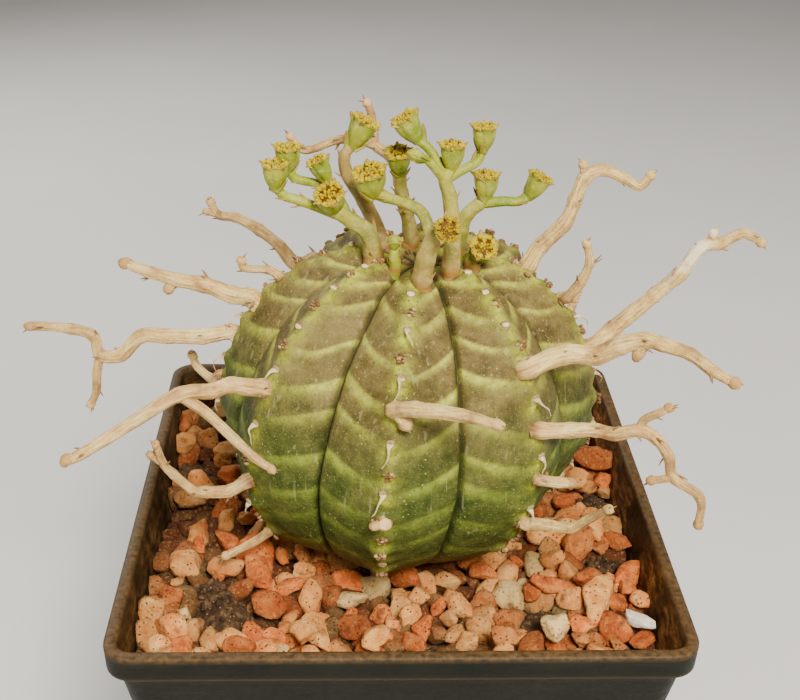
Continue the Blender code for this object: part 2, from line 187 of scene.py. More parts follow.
def closed_faces(rings, sides):
    """Faces of rings listed one after another, and of the fans to two last points that close the ends."""
    column = np.arange(sides)
    after = (column + 1) % sides
    last = (rings - 1) * sides
    start = np.stack([np.full(sides, rings * sides), after, column], axis=1)
    end = np.stack([np.full(sides, rings * sides + 1), last + column, last + after], axis=1)
    return [grid_faces(rings, sides, True), start, end]


def icosphere(subdivisions):
    builder = bmesh.new()
    bmesh.ops.create_icosphere(builder, subdivisions=subdivisions, radius=1.0)
    points = np.array([v.co for v in builder.verts])
    faces = np.array([[v.index for v in f.verts] for f in builder.faces])
    builder.free()
    return points, faces


BALLS = {level: icosphere(level) for level in (2, 3)}


def unit(vector):
    vector = np.asarray(vector, float)
    return vector / np.linalg.norm(vector)


def frame_along(direction):
    """Rotation matrix whose third column is the direction."""
    z = unit(direction)
    helper = np.array([0.0, 0, 1]) if abs(z[2]) < 0.9 else np.array([0.0, 1, 0])
    x = unit(np.cross(helper, z))
    return np.stack([x, np.cross(z, x), z], axis=1)


def outward(axes, turn):
    """The direction at this turn round the third column of axes."""
    return axes[:, 0] * math.cos(turn) + axes[:, 1] * math.sin(turn)


def tangents(path):
    """The unit direction of a path at each of its points."""
    tangent = np.gradient(path, axis=0)
    return tangent / np.linalg.norm(tangent, axis=1)[:, None]


def lengths(path):
    """The distance along a path at each of its points."""
    return np.concatenate([[0], np.cumsum(np.linalg.norm(np.diff(path, axis=0), axis=1))])


def smooth_path(points, spacing):
    """A smooth curve through the points: (places, which control point each place lies at, as a number)."""
    points = np.asarray(points, float)
    padded = np.concatenate([[2 * points[0] - points[1]], points, [2 * points[-1] - points[-2]]])
    places = []
    shares = []
    for index in range(len(points) - 1):
        a, b, c, d = padded[index : index + 4]
        count = max(3, int(np.linalg.norm(c - b) / spacing))
        t = np.arange(count)[:, None] / count
        places.append(0.5 * (2 * b + (c - a) * t + (2 * a - 5 * b + 4 * c - d) * t ** 2
                             + (3 * b - a - 3 * c + d) * t ** 3))
        shares.append(index + t[:, 0])
    places.append(points[-1:])
    shares.append([len(points) - 1.0])
    return np.concatenate(places), np.concatenate(shares)


def sweep(path, radius, sides, lump, flat=1.0):
    """A closed tube: (points, faces, distance along, angle round). lump(along, angle) multiplies the radius,
    flat thins the tube one way."""
    count = len(path)
    tangent = tangents(path)
    along = lengths(path)
    side = frame_along(tangent[0])[:, 0]
    sides_at = []
    for t in tangent:
        side = unit(side - t * side.dot(t))
        sides_at.append(side)
    side = np.array(sides_at)
    other = np.cross(tangent, side)
    angle = np.linspace(0, FULL_TURN, sides, endpoint=False)[None, :] + 0 * along[:, None]
    reach = np.asarray(radius)[:, None] * lump(along[:, None] + 0 * angle, angle)
    ring = np.cos(angle)[..., None] * side[:, None] + flat * np.sin(angle)[..., None] * other[:, None]
    body = path[:, None] + ring * reach[..., None]
    points = np.concatenate([body.reshape(-1, 3), path[:1], path[-1:]])
    along_all = np.concatenate([np.repeat(along, sides), [0, along[-1]]])
    angle_all = np.concatenate([angle.ravel(), [0, 0]])
    return points, closed_faces(count, sides), along_all, angle_all


# ---------------------------------------------------------------- materials


class Shader:
    """A short way to write a material's node tree."""

    def __init__(self, name):
        self.material = bpy.data.materials.new(name)
        self.material.use_nodes = True
        self.tree = self.material.node_tree
        self.main = self.tree.nodes["Principled BSDF"]
        self.place = self.node("ShaderNodeTexCoord").outputs["Object"]

    def node(self, kind, **settings):
        made = self.tree.nodes.new(kind)
        for key, value in settings.items():
            setattr(made, key, value)
        return made

    def wire(self, socket, value):
        if isinstance(value, bpy.types.NodeSocket):
            self.tree.links.new(value, socket)
        else:
            socket.default_value = value

    def attribute(self, name):
        return self.node("ShaderNodeAttribute", attribute_name=name).outputs["Fac"]

    def stretched(self, scale, turn=(0, 0, 0)):
        mapping = self.node("ShaderNodeMapping")
        self.wire(mapping.inputs["Vector"], self.place)
        mapping.inputs["Scale"].default_value = scale
        mapping.inputs["Rotation"].default_value = turn
        return mapping.outputs["Vector"]

    def combine(self, x, y, z):
        made = self.node("ShaderNodeCombineXYZ")
        for socket, value in zip(made.inputs, (x, y, z)):
            self.wire(socket, value)
        return made.outputs[0]

    def noise(self, scale, detail=3.0, rough=0.55, vector=None, distortion=0.0):
        made = self.node("ShaderNodeTexNoise")
        self.wire(made.inputs["Vector"], self.place if vector is None else vector)
        made.inputs["Scale"].default_value = scale
        made.inputs["Detail"].default_value = detail
        made.inputs["Roughness"].default_value = rough
        made.inputs["Distortion"].default_value = distortion
        return made.outputs["Fac"]

    def cells(self, scale, vector=None):
        made = self.node("ShaderNodeTexVoronoi")
        self.wire(made.inputs["Vector"], self.place if vector is None else vector)
        made.inputs["Scale"].default_value = scale
        return made.outputs["Distance"]

    def math(self, operation, a, b=0.0, clamp=False):
        made = self.node("ShaderNodeMath", operation=operation, use_clamp=clamp)
        self.wire(made.inputs[0], a)
        self.wire(made.inputs[1], b)
        return made.outputs[0]

    def times(self, a, b, clamp=False):
        return self.math("MULTIPLY", a, b, clamp)

    def shifted(self, amount, noise, spread):
        """The amount from 0 to 1, moved up and down by a noise."""
        return self.math("ADD", amount, self.times(self.math("SUBTRACT", noise, 0.5), spread), clamp=True)

    def ramp(self, value, stops):
        made = self.node("ShaderNodeValToRGB")
        elements = made.color_ramp.elements
        while len(elements) < len(stops):
            elements.new(0.5)
        for element, (position, colour) in zip(elements, stops):
            element.position = position
            colour = (colour, colour, colour) if isinstance(colour, (int, float)) else colour
            element.color = (*colour, 1)
        self.wire(made.inputs["Fac"], value)
        return made.outputs["Color"]

    def mix(self, share, a, b, blend="MIX"):
        made = self.node("ShaderNodeMix", data_type="RGBA", blend_type=blend)
        self.wire(made.inputs["Factor"], share)
        for name, value in (("A", a), ("B", b)):
            socket = [s for s in made.inputs if s.name == name and s.type == "RGBA"][0]
            self.wire(socket, (*value, 1) if isinstance(value, tuple) else value)
        return [s for s in made.outputs if s.type == "RGBA"][0]

    def bump(self, height, distance, strength=1.0, normal=None):
        made = self.node("ShaderNodeBump")
        made.inputs["Strength"].default_value = strength
        made.inputs["Distance"].default_value = distance
        self.wire(made.inputs["Height"], height)
        if normal is not None:
            self.wire(made.inputs["Normal"], normal)
        return made.outputs["Normal"]

    def finish(self, colour, rough, normal=None, **fixed):
        self.wire(self.main.inputs["Base Color"], colour)
        self.wire(self.main.inputs["Roughness"], rough)
        if normal is not None:
            self.wire(self.main.inputs["Normal"], normal)
        for key, value in fixed.items():
            self.main.inputs[key.replace("_", " ")].default_value = value
        return self.material


def skin_material():
    """Waxy skin: dusky olive brown above, green below, with pale bands and fine specks, painted shade along the
    groove floors and a painted sheen on the upper skin.
    """
    s = Shader("plant_skin")
    shade = s.attribute("shade")
    band = s.attribute("band")
    patch = s.attribute("patch")
    line = s.attribute("line")
    soil = s.attribute("soiled")
    broad = s.noise(160, 4, 0.6)
    fine = s.noise(1100, 4, 0.65)
    green = s.ramp(broad, [(0.3, (0.034, 0.054, 0.008)), (0.7, (0.094, 0.112, 0.021))])
    dusky = s.ramp(broad, [(0.3, (0.085, 0.054, 0.015)), (0.7, (0.185, 0.138, 0.043))])
    high = s.shifted(shade, broad, 0.7)
    base = s.mix(high, green, dusky)
    pale = s.mix(high, (0.19, 0.25, 0.030), (0.46, 0.46, 0.065))
    bands = s.times(band, s.ramp(s.noise(420, 3, 0.6), [(0.25, 0.50), (0.6, 1.05)]), clamp=True)
    base = s.mix(bands, base, pale)
    crest_patches = s.times(patch, s.ramp(s.noise(700, 3), [(0.3, 0.35), (0.6, 1.0)]))
    base = s.mix(crest_patches, base, (0.40, 0.42, 0.035))
    mottle = s.ramp(s.noise(620, 4, 0.7), [(0.34, 0.66), (0.66, 1.26)])
    base = s.mix(0.85, base, mottle, "MULTIPLY")
    specks = s.ramp(s.cells(850), [(0.07, 1.0), (0.16, 0.0)])
    speck_amount = s.times(specks, s.ramp(s.noise(260, 2), [(0.44, 0.0), (0.60, 0.75)]))
    dots = s.ramp(s.cells(1900, s.stretched((1, 1, 1), (0.7, 0.3, 0))), [(0.14, 0.35), (0.26, 0.0)])
    dark_specks = s.ramp(s.cells(900, s.stretched((1, 1, 1), (0.4, 0.2, 0))), [(0.10, 0.55), (0.2, 0.0)])
    # Painted sheen: pale patches on the upper skin
    painted_sheen = s.times(s.ramp(s.noise(70, 4, 0.6), [(0.50, 0.0), (0.68, 0.26)]), high)
    dirt = s.times(soil, s.ramp(fine, [(0.3, 0.35), (0.65, 1.0)]))
    grain = s.noise(900, 2, 0.5, s.stretched((1, 1, 0.10), (0.3, 0.2, 0.1)))
    scratch = s.times(s.ramp(grain, [(0.64, 0.0), (0.70, 1.0)]), 0.22)
    layers = [
        (speck_amount, (0.54, 0.52, 0.17)),
        (dots, (0.36, 0.37, 0.13)),
        (dark_specks, (0.035, 0.030, 0.006)),
        (painted_sheen, (0.34, 0.31, 0.11)),
        # painted shade along the groove floors
        (line, (0.012, 0.016, 0.003)),
        (dirt, (0.21, 0.125, 0.03)),
        (scratch, (0.50, 0.47, 0.25)),
    ]
    for share, colour in layers:
        base = s.mix(share, base, colour)
    rough = s.ramp(s.noise(700, 4), [(0.3, 0.54), (0.7, 0.80)])
    pores = s.cells(2200)
    normal = s.bump(pores, 0.00010, 0.6, s.bump(fine, 0.00030, 0.75))
    return s.finish(base, rough, normal, Specular_IOR_Level=0.14)


def wood_material():
    """Dry stalk wood with long fibres, darker nodes and bleached stretches."""
    s = Shader("dry_stalk_wood")
    knot = s.attribute("knot")
    tint = s.attribute("tint")
    length = s.math("ADD", s.times(s.attribute("along"), 260.0), s.times(tint, 90.0))
    vector = s.combine(s.times(s.attribute("side_x"), 3.4), s.times(s.attribute("side_y"), 3.4), length)
    fibre = s.noise(1.0, 4, 0.65, vector, 0.3)
    blotch = s.noise(170, 4, 0.6)
    base = s.ramp(fibre, [(0.32, (0.26, 0.12, 0.030)), (0.48, (0.72, 0.46, 0.14)), (0.66, (1.0, 0.80, 0.33))])
    pinkish = s.mix(tint, (0.70, 0.36, 0.17), (0.84, 0.62, 0.22))
    layers = [
        (0.35, pinkish),
        (s.ramp(blotch, [(0.52, 0.0), (0.68, 0.6)]), (0.98, 0.80, 0.38)),
        (s.ramp(blotch, [(0.34, 0.75), (0.47, 0.0)]), (0.34, 0.17, 0.06)),
        (s.ramp(s.cells(1300), [(0.08, 0.7), (0.18, 0.0)]), (0.22, 0.11, 0.045)),
        (s.times(knot, s.ramp(fibre, [(0.2, 1.0), (0.8, 0.5)])), (0.30, 0.13, 0.045)),
        (s.attribute("bleach"), (0.92, 0.82, 0.56)),
    ]
    for share, colour in layers:
        base = s.mix(share, base, colour)
    rough = s.ramp(fibre, [(0.3, 0.85), (0.7, 0.6)])
    normal = s.bump(fibre, 0.00055, 1.0, s.bump(s.noise(1400, 3), 0.0003, 0.6))
    return s.finish(base, rough, normal, Specular_IOR_Level=0.35)


def flower_stalk_material():
    """Soft waxy stalks and cups, pale green to mauve, with brown bract tips."""
    s = Shader("flower_stalk_green")
    broad = s.noise(260, 4, 0.6)
    fine = s.noise(1500, 3, 0.6)
    green = s.ramp(broad, [(0.3, (0.13, 0.20, 0.004)), (0.7, (0.36, 0.38, 0.014))])
    dusk = s.ramp(broad, [(0.3, (0.22, 0.110, 0.035)), (0.7, (0.44, 0.27, 0.09))])
    base = s.mix(s.shifted(s.attribute("mauve"), broad, 0.6), green, dusk)
    specks = s.ramp(s.cells(1400), [(0.10, 1.0), (0.22, 0.0)])
    base = s.mix(s.times(specks, 0.45), base, (0.56, 0.54, 0.20))
    bloom = s.ramp(s.noise(480, 4, 0.65), [(0.5, 0.0), (0.72, 0.40)])
    base = s.mix(bloom, base, (0.55, 0.56, 0.22))
    base = s.mix(s.attribute("tip"), base, (0.32, 0.15, 0.03))
    rough = s.ramp(fine, [(0.3, 0.42), (0.7, 0.62)])
    soft = dict(Subsurface_Weight=0.06, Subsurface_Scale=0.001)
    return s.finish(base, rough, s.bump(fine, 0.0002, 0.7), Specular_IOR_Level=0.35, **soft)


def nectar_material():
    """Sticky yellow glands, with painted shade in the gaps between them: a dark brown disc under the knobs."""
    s = Shader("flower_disc_yellow")
    deep = s.attribute("deep")
    broad = s.noise(900, 4, 0.65)
    base = s.ramp(broad, [(0.28, (0.22, 0.13, 0.0)), (0.5, (0.44, 0.33, 0.0)), (0.72, (0.66, 0.53, 0.0))])
    # deep: painted shade on the disc under the knobs; on the knobs a random darkening with the orange tint
    # added
    base = s.mix(deep, base, (0.11, 0.036, 0.001))
    rough = s.ramp(broad, [(0.3, 0.6), (0.7, 0.3)])
    return s.finish(base, rough, s.bump(s.noise(2500, 3), 0.0002, 0.9), Specular_IOR_Level=0.2)


def scar_material():
    """Scars and scales on the rib crests: 0 brown, 1 bleached."""
    s = Shader("rib_scars")
    pale = s.attribute("pale")
    fine = s.noise(1800, 4, 0.65)
    brown = s.ramp(fine, [(0.3, (0.08, 0.026, 0.006)), (0.7, (0.34, 0.15, 0.045))])
    white = s.ramp(fine, [(0.3, (0.52, 0.36, 0.15)), (0.7, (0.92, 0.80, 0.48))])
    return s.finish(s.mix(pale, brown, white), 0.75, s.bump(fine, 0.0002, 0.8))


def gravel_material():
    """Pitted red, orange and salmon stone, with a few cream ones, painted shade on buried stones and in the
    pits, and a painted highlight on the raised grain.
    """
    s = Shader("red_gravel")
    tone = s.attribute("tone")
    light = s.attribute("light")
    broad = s.noise(330, 5, 0.65)
    fine = s.noise(1500, 5, 0.7)
    red = s.ramp(broad, [(0.28, (0.34, 0.050, 0.010)), (0.5, (0.7, 0.165, 0.028)), (0.72, (0.9, 0.33, 0.08))])
    salmon = s.ramp(broad, [(0.28, (0.64, 0.20, 0.04)), (0.5, (0.92, 0.40, 0.105)), (0.74, (1, 0.64, 0.24))])
    cream = s.ramp(broad, [(0.28, (0.70, 0.38, 0.10)), (0.72, (1.0, 0.76, 0.34))])
    base = s.mix(s.ramp(tone, [(0.35, 0.0), (0.65, 1.0)]), red, salmon)
    base = s.mix(s.ramp(tone, [(0.90, 0.0), (0.95, 1.0)]), base, cream)
    # light: a random brightness for each stone, darkened further as painted shade where the stone lies deep
    base = s.mix(1.0, base, s.ramp(light, [(0.0, 0.16), (0.15, 0.62), (1.0, 1.20)]), "MULTIPLY")
    pores = s.ramp(s.cells(1150), [(0.12, 1.0), (0.24, 0.0)])
    shaded_pits = s.times(pores, s.ramp(s.noise(420, 2), [(0.38, 0.0), (0.55, 1.0)]))
    # Painted shade in the pits: the pits that the bump sinks are painted dark red-brown
    base = s.mix(shaded_pits, base, (0.12, 0.028, 0.014))
    # Painted highlight: pale cream where the fine bump stands highest
    painted_grain_highlight = s.ramp(fine, [(0.55, 0.0), (0.75, 0.5)])
    base = s.mix(painted_grain_highlight, base, (1.0, 0.66, 0.26))
    grime = s.ramp(s.noise(240, 3), [(0.30, 0.70), (0.40, 0.0)])
    base = s.mix(grime, base, (0.12, 0.035, 0.014))
    height = s.math("SUBTRACT", fine, s.times(shaded_pits, 0.7))
    return s.finish(base, 0.85, s.bump(height, 0.0009, 1.0), Specular_IOR_Level=0.3)


def soil_material():
    s = Shader("potting_soil")
    fine = s.noise(1300, 5, 0.7)
    base = s.ramp(s.noise(500, 4, 0.65), [(0.3, (0.016, 0.008, 0.004)), (0.52, (0.075, 0.038, 0.016)),
                                          (0.74, (0.26, 0.145, 0.060))])
    base = s.mix(s.ramp(s.cells(1100), [(0.10, 0.8), (0.18, 0.0)]), base, (0.46, 0.30, 0.15))
    return s.finish(base, 0.9, s.bump(fine, 0.0007, 1.0), Specular_IOR_Level=0.3)


def pot_material():
    """Worn black-green plastic, with brown and chalky stains where the attribute is set."""
    s = Shader("pot_plastic")
    broad = s.noise(70, 4, 0.6)
    fine = s.noise(900, 4, 0.6)
    base = s.ramp(broad, [(0.3, (0.004, 0.005, 0.003)), (0.7, (0.010, 0.010, 0.006))])
    scratch = s.ramp(s.noise(500, 2, 0.5, s.stretched((0.1, 0.1, 1))), [(0.62, 0.0), (0.70, 1.0)])
    base = s.mix(s.times(scratch, 0.12), base, (0.045, 0.038, 0.022))
    worn = s.times(s.attribute("edge"), s.ramp(fine, [(0.35, 0.25), (0.7, 0.85)]))
    base = s.mix(worn, base, (0.15, 0.085, 0.035))
    blotch = s.noise(210, 5, 0.72, s.stretched((1, 1, 2.2)), 0.2)
    brown = s.ramp(blotch, [(0.35, (0.050, 0.018, 0.004)), (0.5, (0.15, 0.062, 0.014)),
                            (0.66, (0.34, 0.18, 0.055)), (0.78, (0.56, 0.46, 0.30))])
    amount = s.times(s.attribute("stain"), s.ramp(blotch, [(0.36, 0.15), (0.52, 1.0)]), clamp=True)
    base = s.mix(amount, base, brown)
    rough = s.mix(amount, s.ramp(fine, [(0.3, 0.42), (0.7, 0.6)]), (0.9, 0.9, 0.9))
    normal = s.bump(fine, 0.00012, 0.5, s.bump(blotch, 0.0003, 0.4))
    return s.finish(base, rough, normal, Specular_IOR_Level=0.14)


def floor_material():
    s = Shader("studio_floor")
    base = s.ramp(s.noise(9, 3), [(0.3, (0.70, 0.69, 0.67)), (0.7, (0.74, 0.73, 0.71))])
    return s.finish(base, 0.8)


def chalk_material():
    s = Shader("white_chip")
    fine = s.noise(900, 4, 0.65)
    base = s.ramp(fine, [(0.3, (0.42, 0.35, 0.27)), (0.6, (0.80, 0.74, 0.64))])
    return s.finish(base, 0.8, s.bump(fine, 0.0004, 0.8))


CHALK = chalk_material()
SKIN = skin_material()
WOOD = wood_material()
FLOWER = flower_stalk_material()
NECTAR = nectar_material()
SCARS = scar_material()
GRAVEL = gravel_material()
SOIL = soil_material()
PLASTIC = pot_material()


# ---------------------------------------------------------------- plant body


def rib_angle(rib):
    return FIRST_RIB + rib * FULL_TURN / RIBS


def crest_line(latitude):
    """(radius, height over the widest place) of a rib crest."""
    angle = np.radians(latitude)
    across = np.maximum(np.cos(angle), 0)
    up = np.abs(np.sin(angle))
    above = latitude >= 0
    radius = CREST_RADIUS * np.where(above, across ** 0.86, across ** 0.95)
    return radius, np.where(above, ABOVE_WIDEST * up ** 1.06, -BELOW_WIDEST * up ** 1.05)


def from_crest(azimuth):
    """0 on a rib crest and 1 in a groove."""
    return np.abs(((azimuth - FIRST_RIB) / (math.pi / RIBS) + 1) % 2 - 1)


def plain_skin(azimuth, latitude):
    """Points of the ribbed shape without its small relief."""
    azimuth, latitude = np.broadcast_arrays(np.asarray(azimuth, float), np.asarray(latitude, float))
    radius, height = crest_line(latitude)
    depth = GROOVE_LOW + (GROOVE_HIGH - GROOVE_LOW) * np.maximum(0, latitude / 90)
    radius = radius * (1 - depth * from_crest(azimuth) ** 1.6)
    dip = np.maximum(0, 1 - radius / CROWN_DIP_RADIUS)
    height = height - np.where(latitude > 0, CROWN_DIP * dip ** 1.5, 0)
    lowest = crest_line(np.array(LEAN_ENDS_AT))[1]
    x = PLANT_X + LEAN * np.maximum(height, lowest) + radius * np.sin(azimuth)
    return np.stack([x, PLANT_Y - radius * np.cos(azimuth), WIDEST_Z + height], axis=-1)


def skin_normal(azimuth, latitude):
    turn = math.radians(2)
    along = plain_skin(azimuth, latitude + 0.5) - plain_skin(azimuth, latitude - 0.5)
    across = plain_skin(azimuth + turn, latitude) - plain_skin(azimuth - turn, latitude)
    normal = np.cross(across, along)
    normal /= np.linalg.norm(normal, axis=-1, keepdims=True) + 1e-12
    outward = plain_skin(azimuth, latitude) - np.array([PLANT_X, PLANT_Y, WIDEST_Z])
    return normal * np.where((normal * outward).sum(-1, keepdims=True) > 0, 1, -1)


# What sits along each rib crest, as a latitude and a kind: w bleached scar, b brown scar, t dry thread,
# s foot of a stalk, g young scale.
CROWN_MARKS = "86g 82g 77b 72w "
MARKS = [
    "66w 59b 54t 46b 40t 31s 21t 12b 5t -6s -15b -22b -30w -38b",
    "64w 59b 52w 45b 38s 29t 19s 10t 2s -10t -17s -26b -34b",
    "66b 60s 53b 46s 39t 33b 26s 16t 7b -3t -12b -22t -33b",
    "65b 57w 50b 42t 34b 25t 16b 8s -3t -13b -24t -34b",
    "64w 56b 48w 40b 32t 24s 13t 4b -7t -17b -28t -36b",
    "66w 59b 52b 45w 39t 33s 22b 12t 2s -10b -21t -32b",
    "64b 56b 48s 42w 36s 29t 22s 13t 5s -6t -17b -29t -37b",
    "68b 61w 54b 47w 40b 32t 26s 14t 2b -8s -18t -26b -34s",
]
RIB_MARKS = [[(int(mark[:-1]), mark[-1]) for mark in (CROWN_MARKS + rib).split()] for rib in MARKS]
BAND_LATITUDES = (69.0, 57.5, 45.5, 33.0, 20.5, 8.0, -5.0, -18.0, -32.0, -46.0)


def rib_of(azimuth):
    return np.round((azimuth - FIRST_RIB) / (FULL_TURN / RIBS)).astype(int) % RIBS


def relief(azimuth, latitude, places):
    """How far the skin stands over the plain shape, the painted shade along each groove floor, and the patches
    of colour the relief goes with.
    """
    radius = crest_line(latitude)[0]
    crest_share = from_crest(azimuth)
    arc = radius * math.pi / RIBS
    wide = smoothstep(3 * MM, 13 * MM, radius)
    keel = 0.55 * MM * np.exp(-(crest_share * arc / (2.6 * MM)) ** 2) * wide
    # Painted shade: the groove floor, which the relief sinks, is painted near black
    line = np.exp(-((1 - crest_share) * arc / (0.42 * MM)) ** 2)
    groove = np.exp(-((1 - crest_share) * arc / (1.1 * MM)) ** 2)
    sunk = -(0.30 * groove + 0.85 * line) * MM * wide
    rib = rib_of(azimuth)
    bump = np.zeros(azimuth.shape)
    patch = np.zeros(azimuth.shape)
    for index in range(RIBS):
        here = rib == index
        across = crest_share[here] * arc[here]
        for number, (centre, kind) in enumerate(RIB_MARKS[index]):
            reach = np.abs(latitude[here] - centre) * math.pi / 180 * SKIN_ARC * MM
            size = 0.55 if kind == "g" else 1.0
            high = (0.75 + 0.25 * math.sin(index * 5 + number * 3)) * size
            close = np.exp(-(reach / (1.5 * size * MM)) ** 2 - (across / (2.1 * size * MM)) ** 2)
            bump[here] += high * close
            down = (latitude[here] - centre + 3.0) * math.pi / 180 * SKIN_ARC * MM
            patch[here] += np.exp(-(down / (1.5 * MM)) ** 2 - (across / (1.5 * MM)) ** 2)
    rough = 0.30 * MM * fbm(places * 110, 2, 5) + 0.09 * MM * fbm(places * 520, 3, 9)
    return keel + sunk + 1.2 * MM * bump + rough * wide, line, np.clip(patch, 0, 1)


def bands(azimuth, latitude, places):
    """0 to 1: shallow pale V shapes that hang towards each rib crest."""
    share = from_crest(azimuth)
    offset = ((azimuth - FIRST_RIB) / (math.pi / RIBS) + 1) % 2 - 1
    rib = rib_of(azimuth)
    wobble = 1.3 * fbm(places * 110, 2, 31)
    total = np.zeros(azimuth.shape)
    for number, centre in enumerate(BAND_LATITUDES):
        drift = 1.6 * np.sin(rib * 2.7 + number * 1.9) + np.where(offset > 0, -1.6, 1.6)
        line = centre + 6.5 * share ** 1.3 - 3.0 + drift + wobble
        gap = latitude - line
        width = 1.55 + 0.4 * math.sin(number * 2.3) + (0.7 if centre < 15 else 0)
        shape = np.where(gap > 0, np.exp(-(gap / (0.65 * width)) ** 4), np.exp(-(gap / (1.35 * width)) ** 2))
        weight = 0.25 + 0.75 * smoothstep(0.05, 0.55, share)
        total += shape * weight * (0.85 + 0.15 * math.sin(number * 4.1 + 1)) * (0.75 if centre < 0 else 1)
    return np.clip(total, 0, 1)


def build_body():
    """The skin, from under the gravel to the sunken crown."""
    half_rib = np.linspace(0, 1, 25)
    near_crest = half_rib ** 1.25 * 0.5 ** -0.25
    near_groove = 1 - (1 - half_rib) ** 1.6 * 0.5 ** -0.6
    spread = np.where(half_rib < 0.5, near_crest, near_groove)
    one = np.concatenate([-spread[::-1], spread[1:-1]])
    azimuth = np.concatenate([rib_angle(rib) + one * math.pi / RIBS for rib in range(RIBS)])
    rows = 250
    latitude = np.concatenate([np.linspace(LOWEST_LATITUDE, 88.6, rows), [89.3, 89.8]])
    a, l = np.meshgrid(azimuth, latitude)
    a, l = a.ravel(), l.ravel()
    plain = plain_skin(a, l)
    high, line, patch = relief(a, l, plain)
    points = plain + skin_normal(a, l) * high[:, None]
    upper = 20 + 14 * fbm(plain * 60, 3, 3)
    shade = smoothstep(upper - 26, upper + 26, l) * (1 - 0.25 * patch)
    soiled = smoothstep(-26, -50, l + 7 * fbm(plain * 160, 3, 8)) * 0.55
    columns = len(azimuth)
    ends = [points[:columns].mean(axis=0), points[-columns:].mean(axis=0)]
    # Each value, with what it is at the two points that close the ends
    # line carries the painted shade of the groove floors
    values = dict(shade=(shade, 0, 1), band=(bands(a, l, plain), 0, 0), patch=(patch, 0, 0),
                  line=(line * 0.8, 0, 0.4), soiled=(soiled, 1, 0))
    filled = {name: np.concatenate([value, [low, top]]) for name, (value, low, top) in values.items()}
    soup = Soup()
    soup.add(np.concatenate([points, ends]), closed_faces(len(latitude), columns), **filled)
    soup.build("euphorbia_skin", SKIN, "plant_skin", ["plant_body"])


def on_skin(azimuth, latitude):
    """(point on the finished skin, its normal)."""
    azimuth, latitude = np.array([float(azimuth)]), np.array([float(latitude)])
    plain = plain_skin(azimuth, latitude)
    normal = skin_normal(azimuth, latitude)
    return (plain + normal * relief(azimuth, latitude, plain)[0][:, None])[0], normal[0]


def scale_lump(soup, centre, axes, size, draw, level, roughness, **values):
    """A small rough lump: size is along the three columns of axes."""
    ball, faces = BALLS[level]
    factor = 1 + roughness * fbm(ball * 1.7 + draw.uniform(0, 90), 2, 3)
    local = ball * factor[:, None] * np.asarray(size)
    soup.add(centre + local @ np.asarray(axes).T, [faces], **values)


def thread(soup, start, normal, down, draw):
    """A dried thread that flares at its foot and curls downwards."""
    lean = draw.uniform(-0.5, 0.5)
    side = np.cross(normal, down)
    length = draw.uniform(2.6, 4.8) * MM
    points = [start - normal * 0.5 * MM]
    for share in (0.15, 0.4, 0.65, 0.85, 1.0):
        out = math.sin(share * 2.6) * 0.42 * draw.uniform(0.8, 1.3)
        points.append(start + normal * (0.3 * MM + out * length * 0.5)
                      + down * length * share * (0.75 + 0.2 * share) + side * lean * length * share ** 2
                      + side * 0.05 * length * math.sin(share * 6 + lean * 9))
    path, _ = smooth_path(points, 0.3 * MM)
    share = np.linspace(0, 1, len(path))
    radius = (0.50 * np.exp(-(share / 0.24) ** 2) + 0.21 - 0.13 * share) * MM
    sides = 10
    tube, faces, _, _ = sweep(path, radius, sides, lambda s, a: 1 + 0.15 * np.sin(3 * a + s * 1500), 0.7)
    share_all = np.concatenate([np.repeat(share, sides), [0, 1]])
    soup.add(tube, faces, pale=np.clip(0.95 - share_all * draw.uniform(0.2, 0.7), 0, 1))


def build_scars():
    """Everything small along the rib crests."""
    scars = Soup()
    threads = Soup()
    draw = random.Random(21)

    def lump(right, low, out, size, level, roughness, pale):
        """A lump this many millimetres from the mark, across, down and out, with its size in millimetres."""
        spot = place + across * right * MM + down * low * MM + normal * out * MM
        scale_lump(scars, spot, axes, np.array(size) * MM, draw, level, roughness, pale=pale)

    for rib in range(RIBS):
        for latitude, kind in RIB_MARKS[rib]:
            turn = math.radians(draw.uniform(-0.8, 0.8))
            place, normal = on_skin(rib_angle(rib) + turn, latitude + draw.uniform(-0.5, 0.5))
            across = unit(np.cross([0, 0, 1.0], normal))
            down = np.cross(across, normal)
            down = down if down[2] < 0 else -down
            axes = np.stack([across, down, normal], axis=1)
            if kind == "w":
                lump(0, 0, 0.05, (0.72, 0.48, 0.32), 3, 0.25, 1.0)
                lump(0, -0.45, 0, (0.85, 0.30, 0.42), 3, 0.25, 0.10)
            elif kind == "b":
                for number in range(7):
                    way = outward(axes, number * 2.4 + draw.uniform(-0.3, 0.3))
                    reach = (0.25 if number < 2 else 0.75) * MM
                    size = np.array([0.38, 0.24, 0.40]) * MM * draw.uniform(0.7, 1.25)
                    scale_lump(scars, place + way * reach + normal * 0.12 * MM, axes, size, draw, 2, 0.3,
                               pale=draw.choice((0.0, 0.0, 0.05, 0.10, 0.45)))
            elif kind == "g":
                for sign in (-1, 1):
                    lump(sign * 0.35, 0, 0.2, (0.25, 0.6, 0.5), 2, 0.2, 0.1)
            elif kind == "t":
                thread(threads, place, normal, down, draw)
                lump(0, -0.35, 0, (0.75, 0.4, 0.35), 2, 0.25, 0.25)
            elif kind == "s":
                for sign in (-1, 1):
                    lump(sign * 1.5, 0, -0.1, (0.4, 0.75, 0.3), 2, 0.3, 0.1)
    scars.build("rib_scars", SCARS, "plant_skin")
    threads.build("rib_threads", SCARS, "dry_stalk_wood")


# ---------------------------------------------------------------- stalks

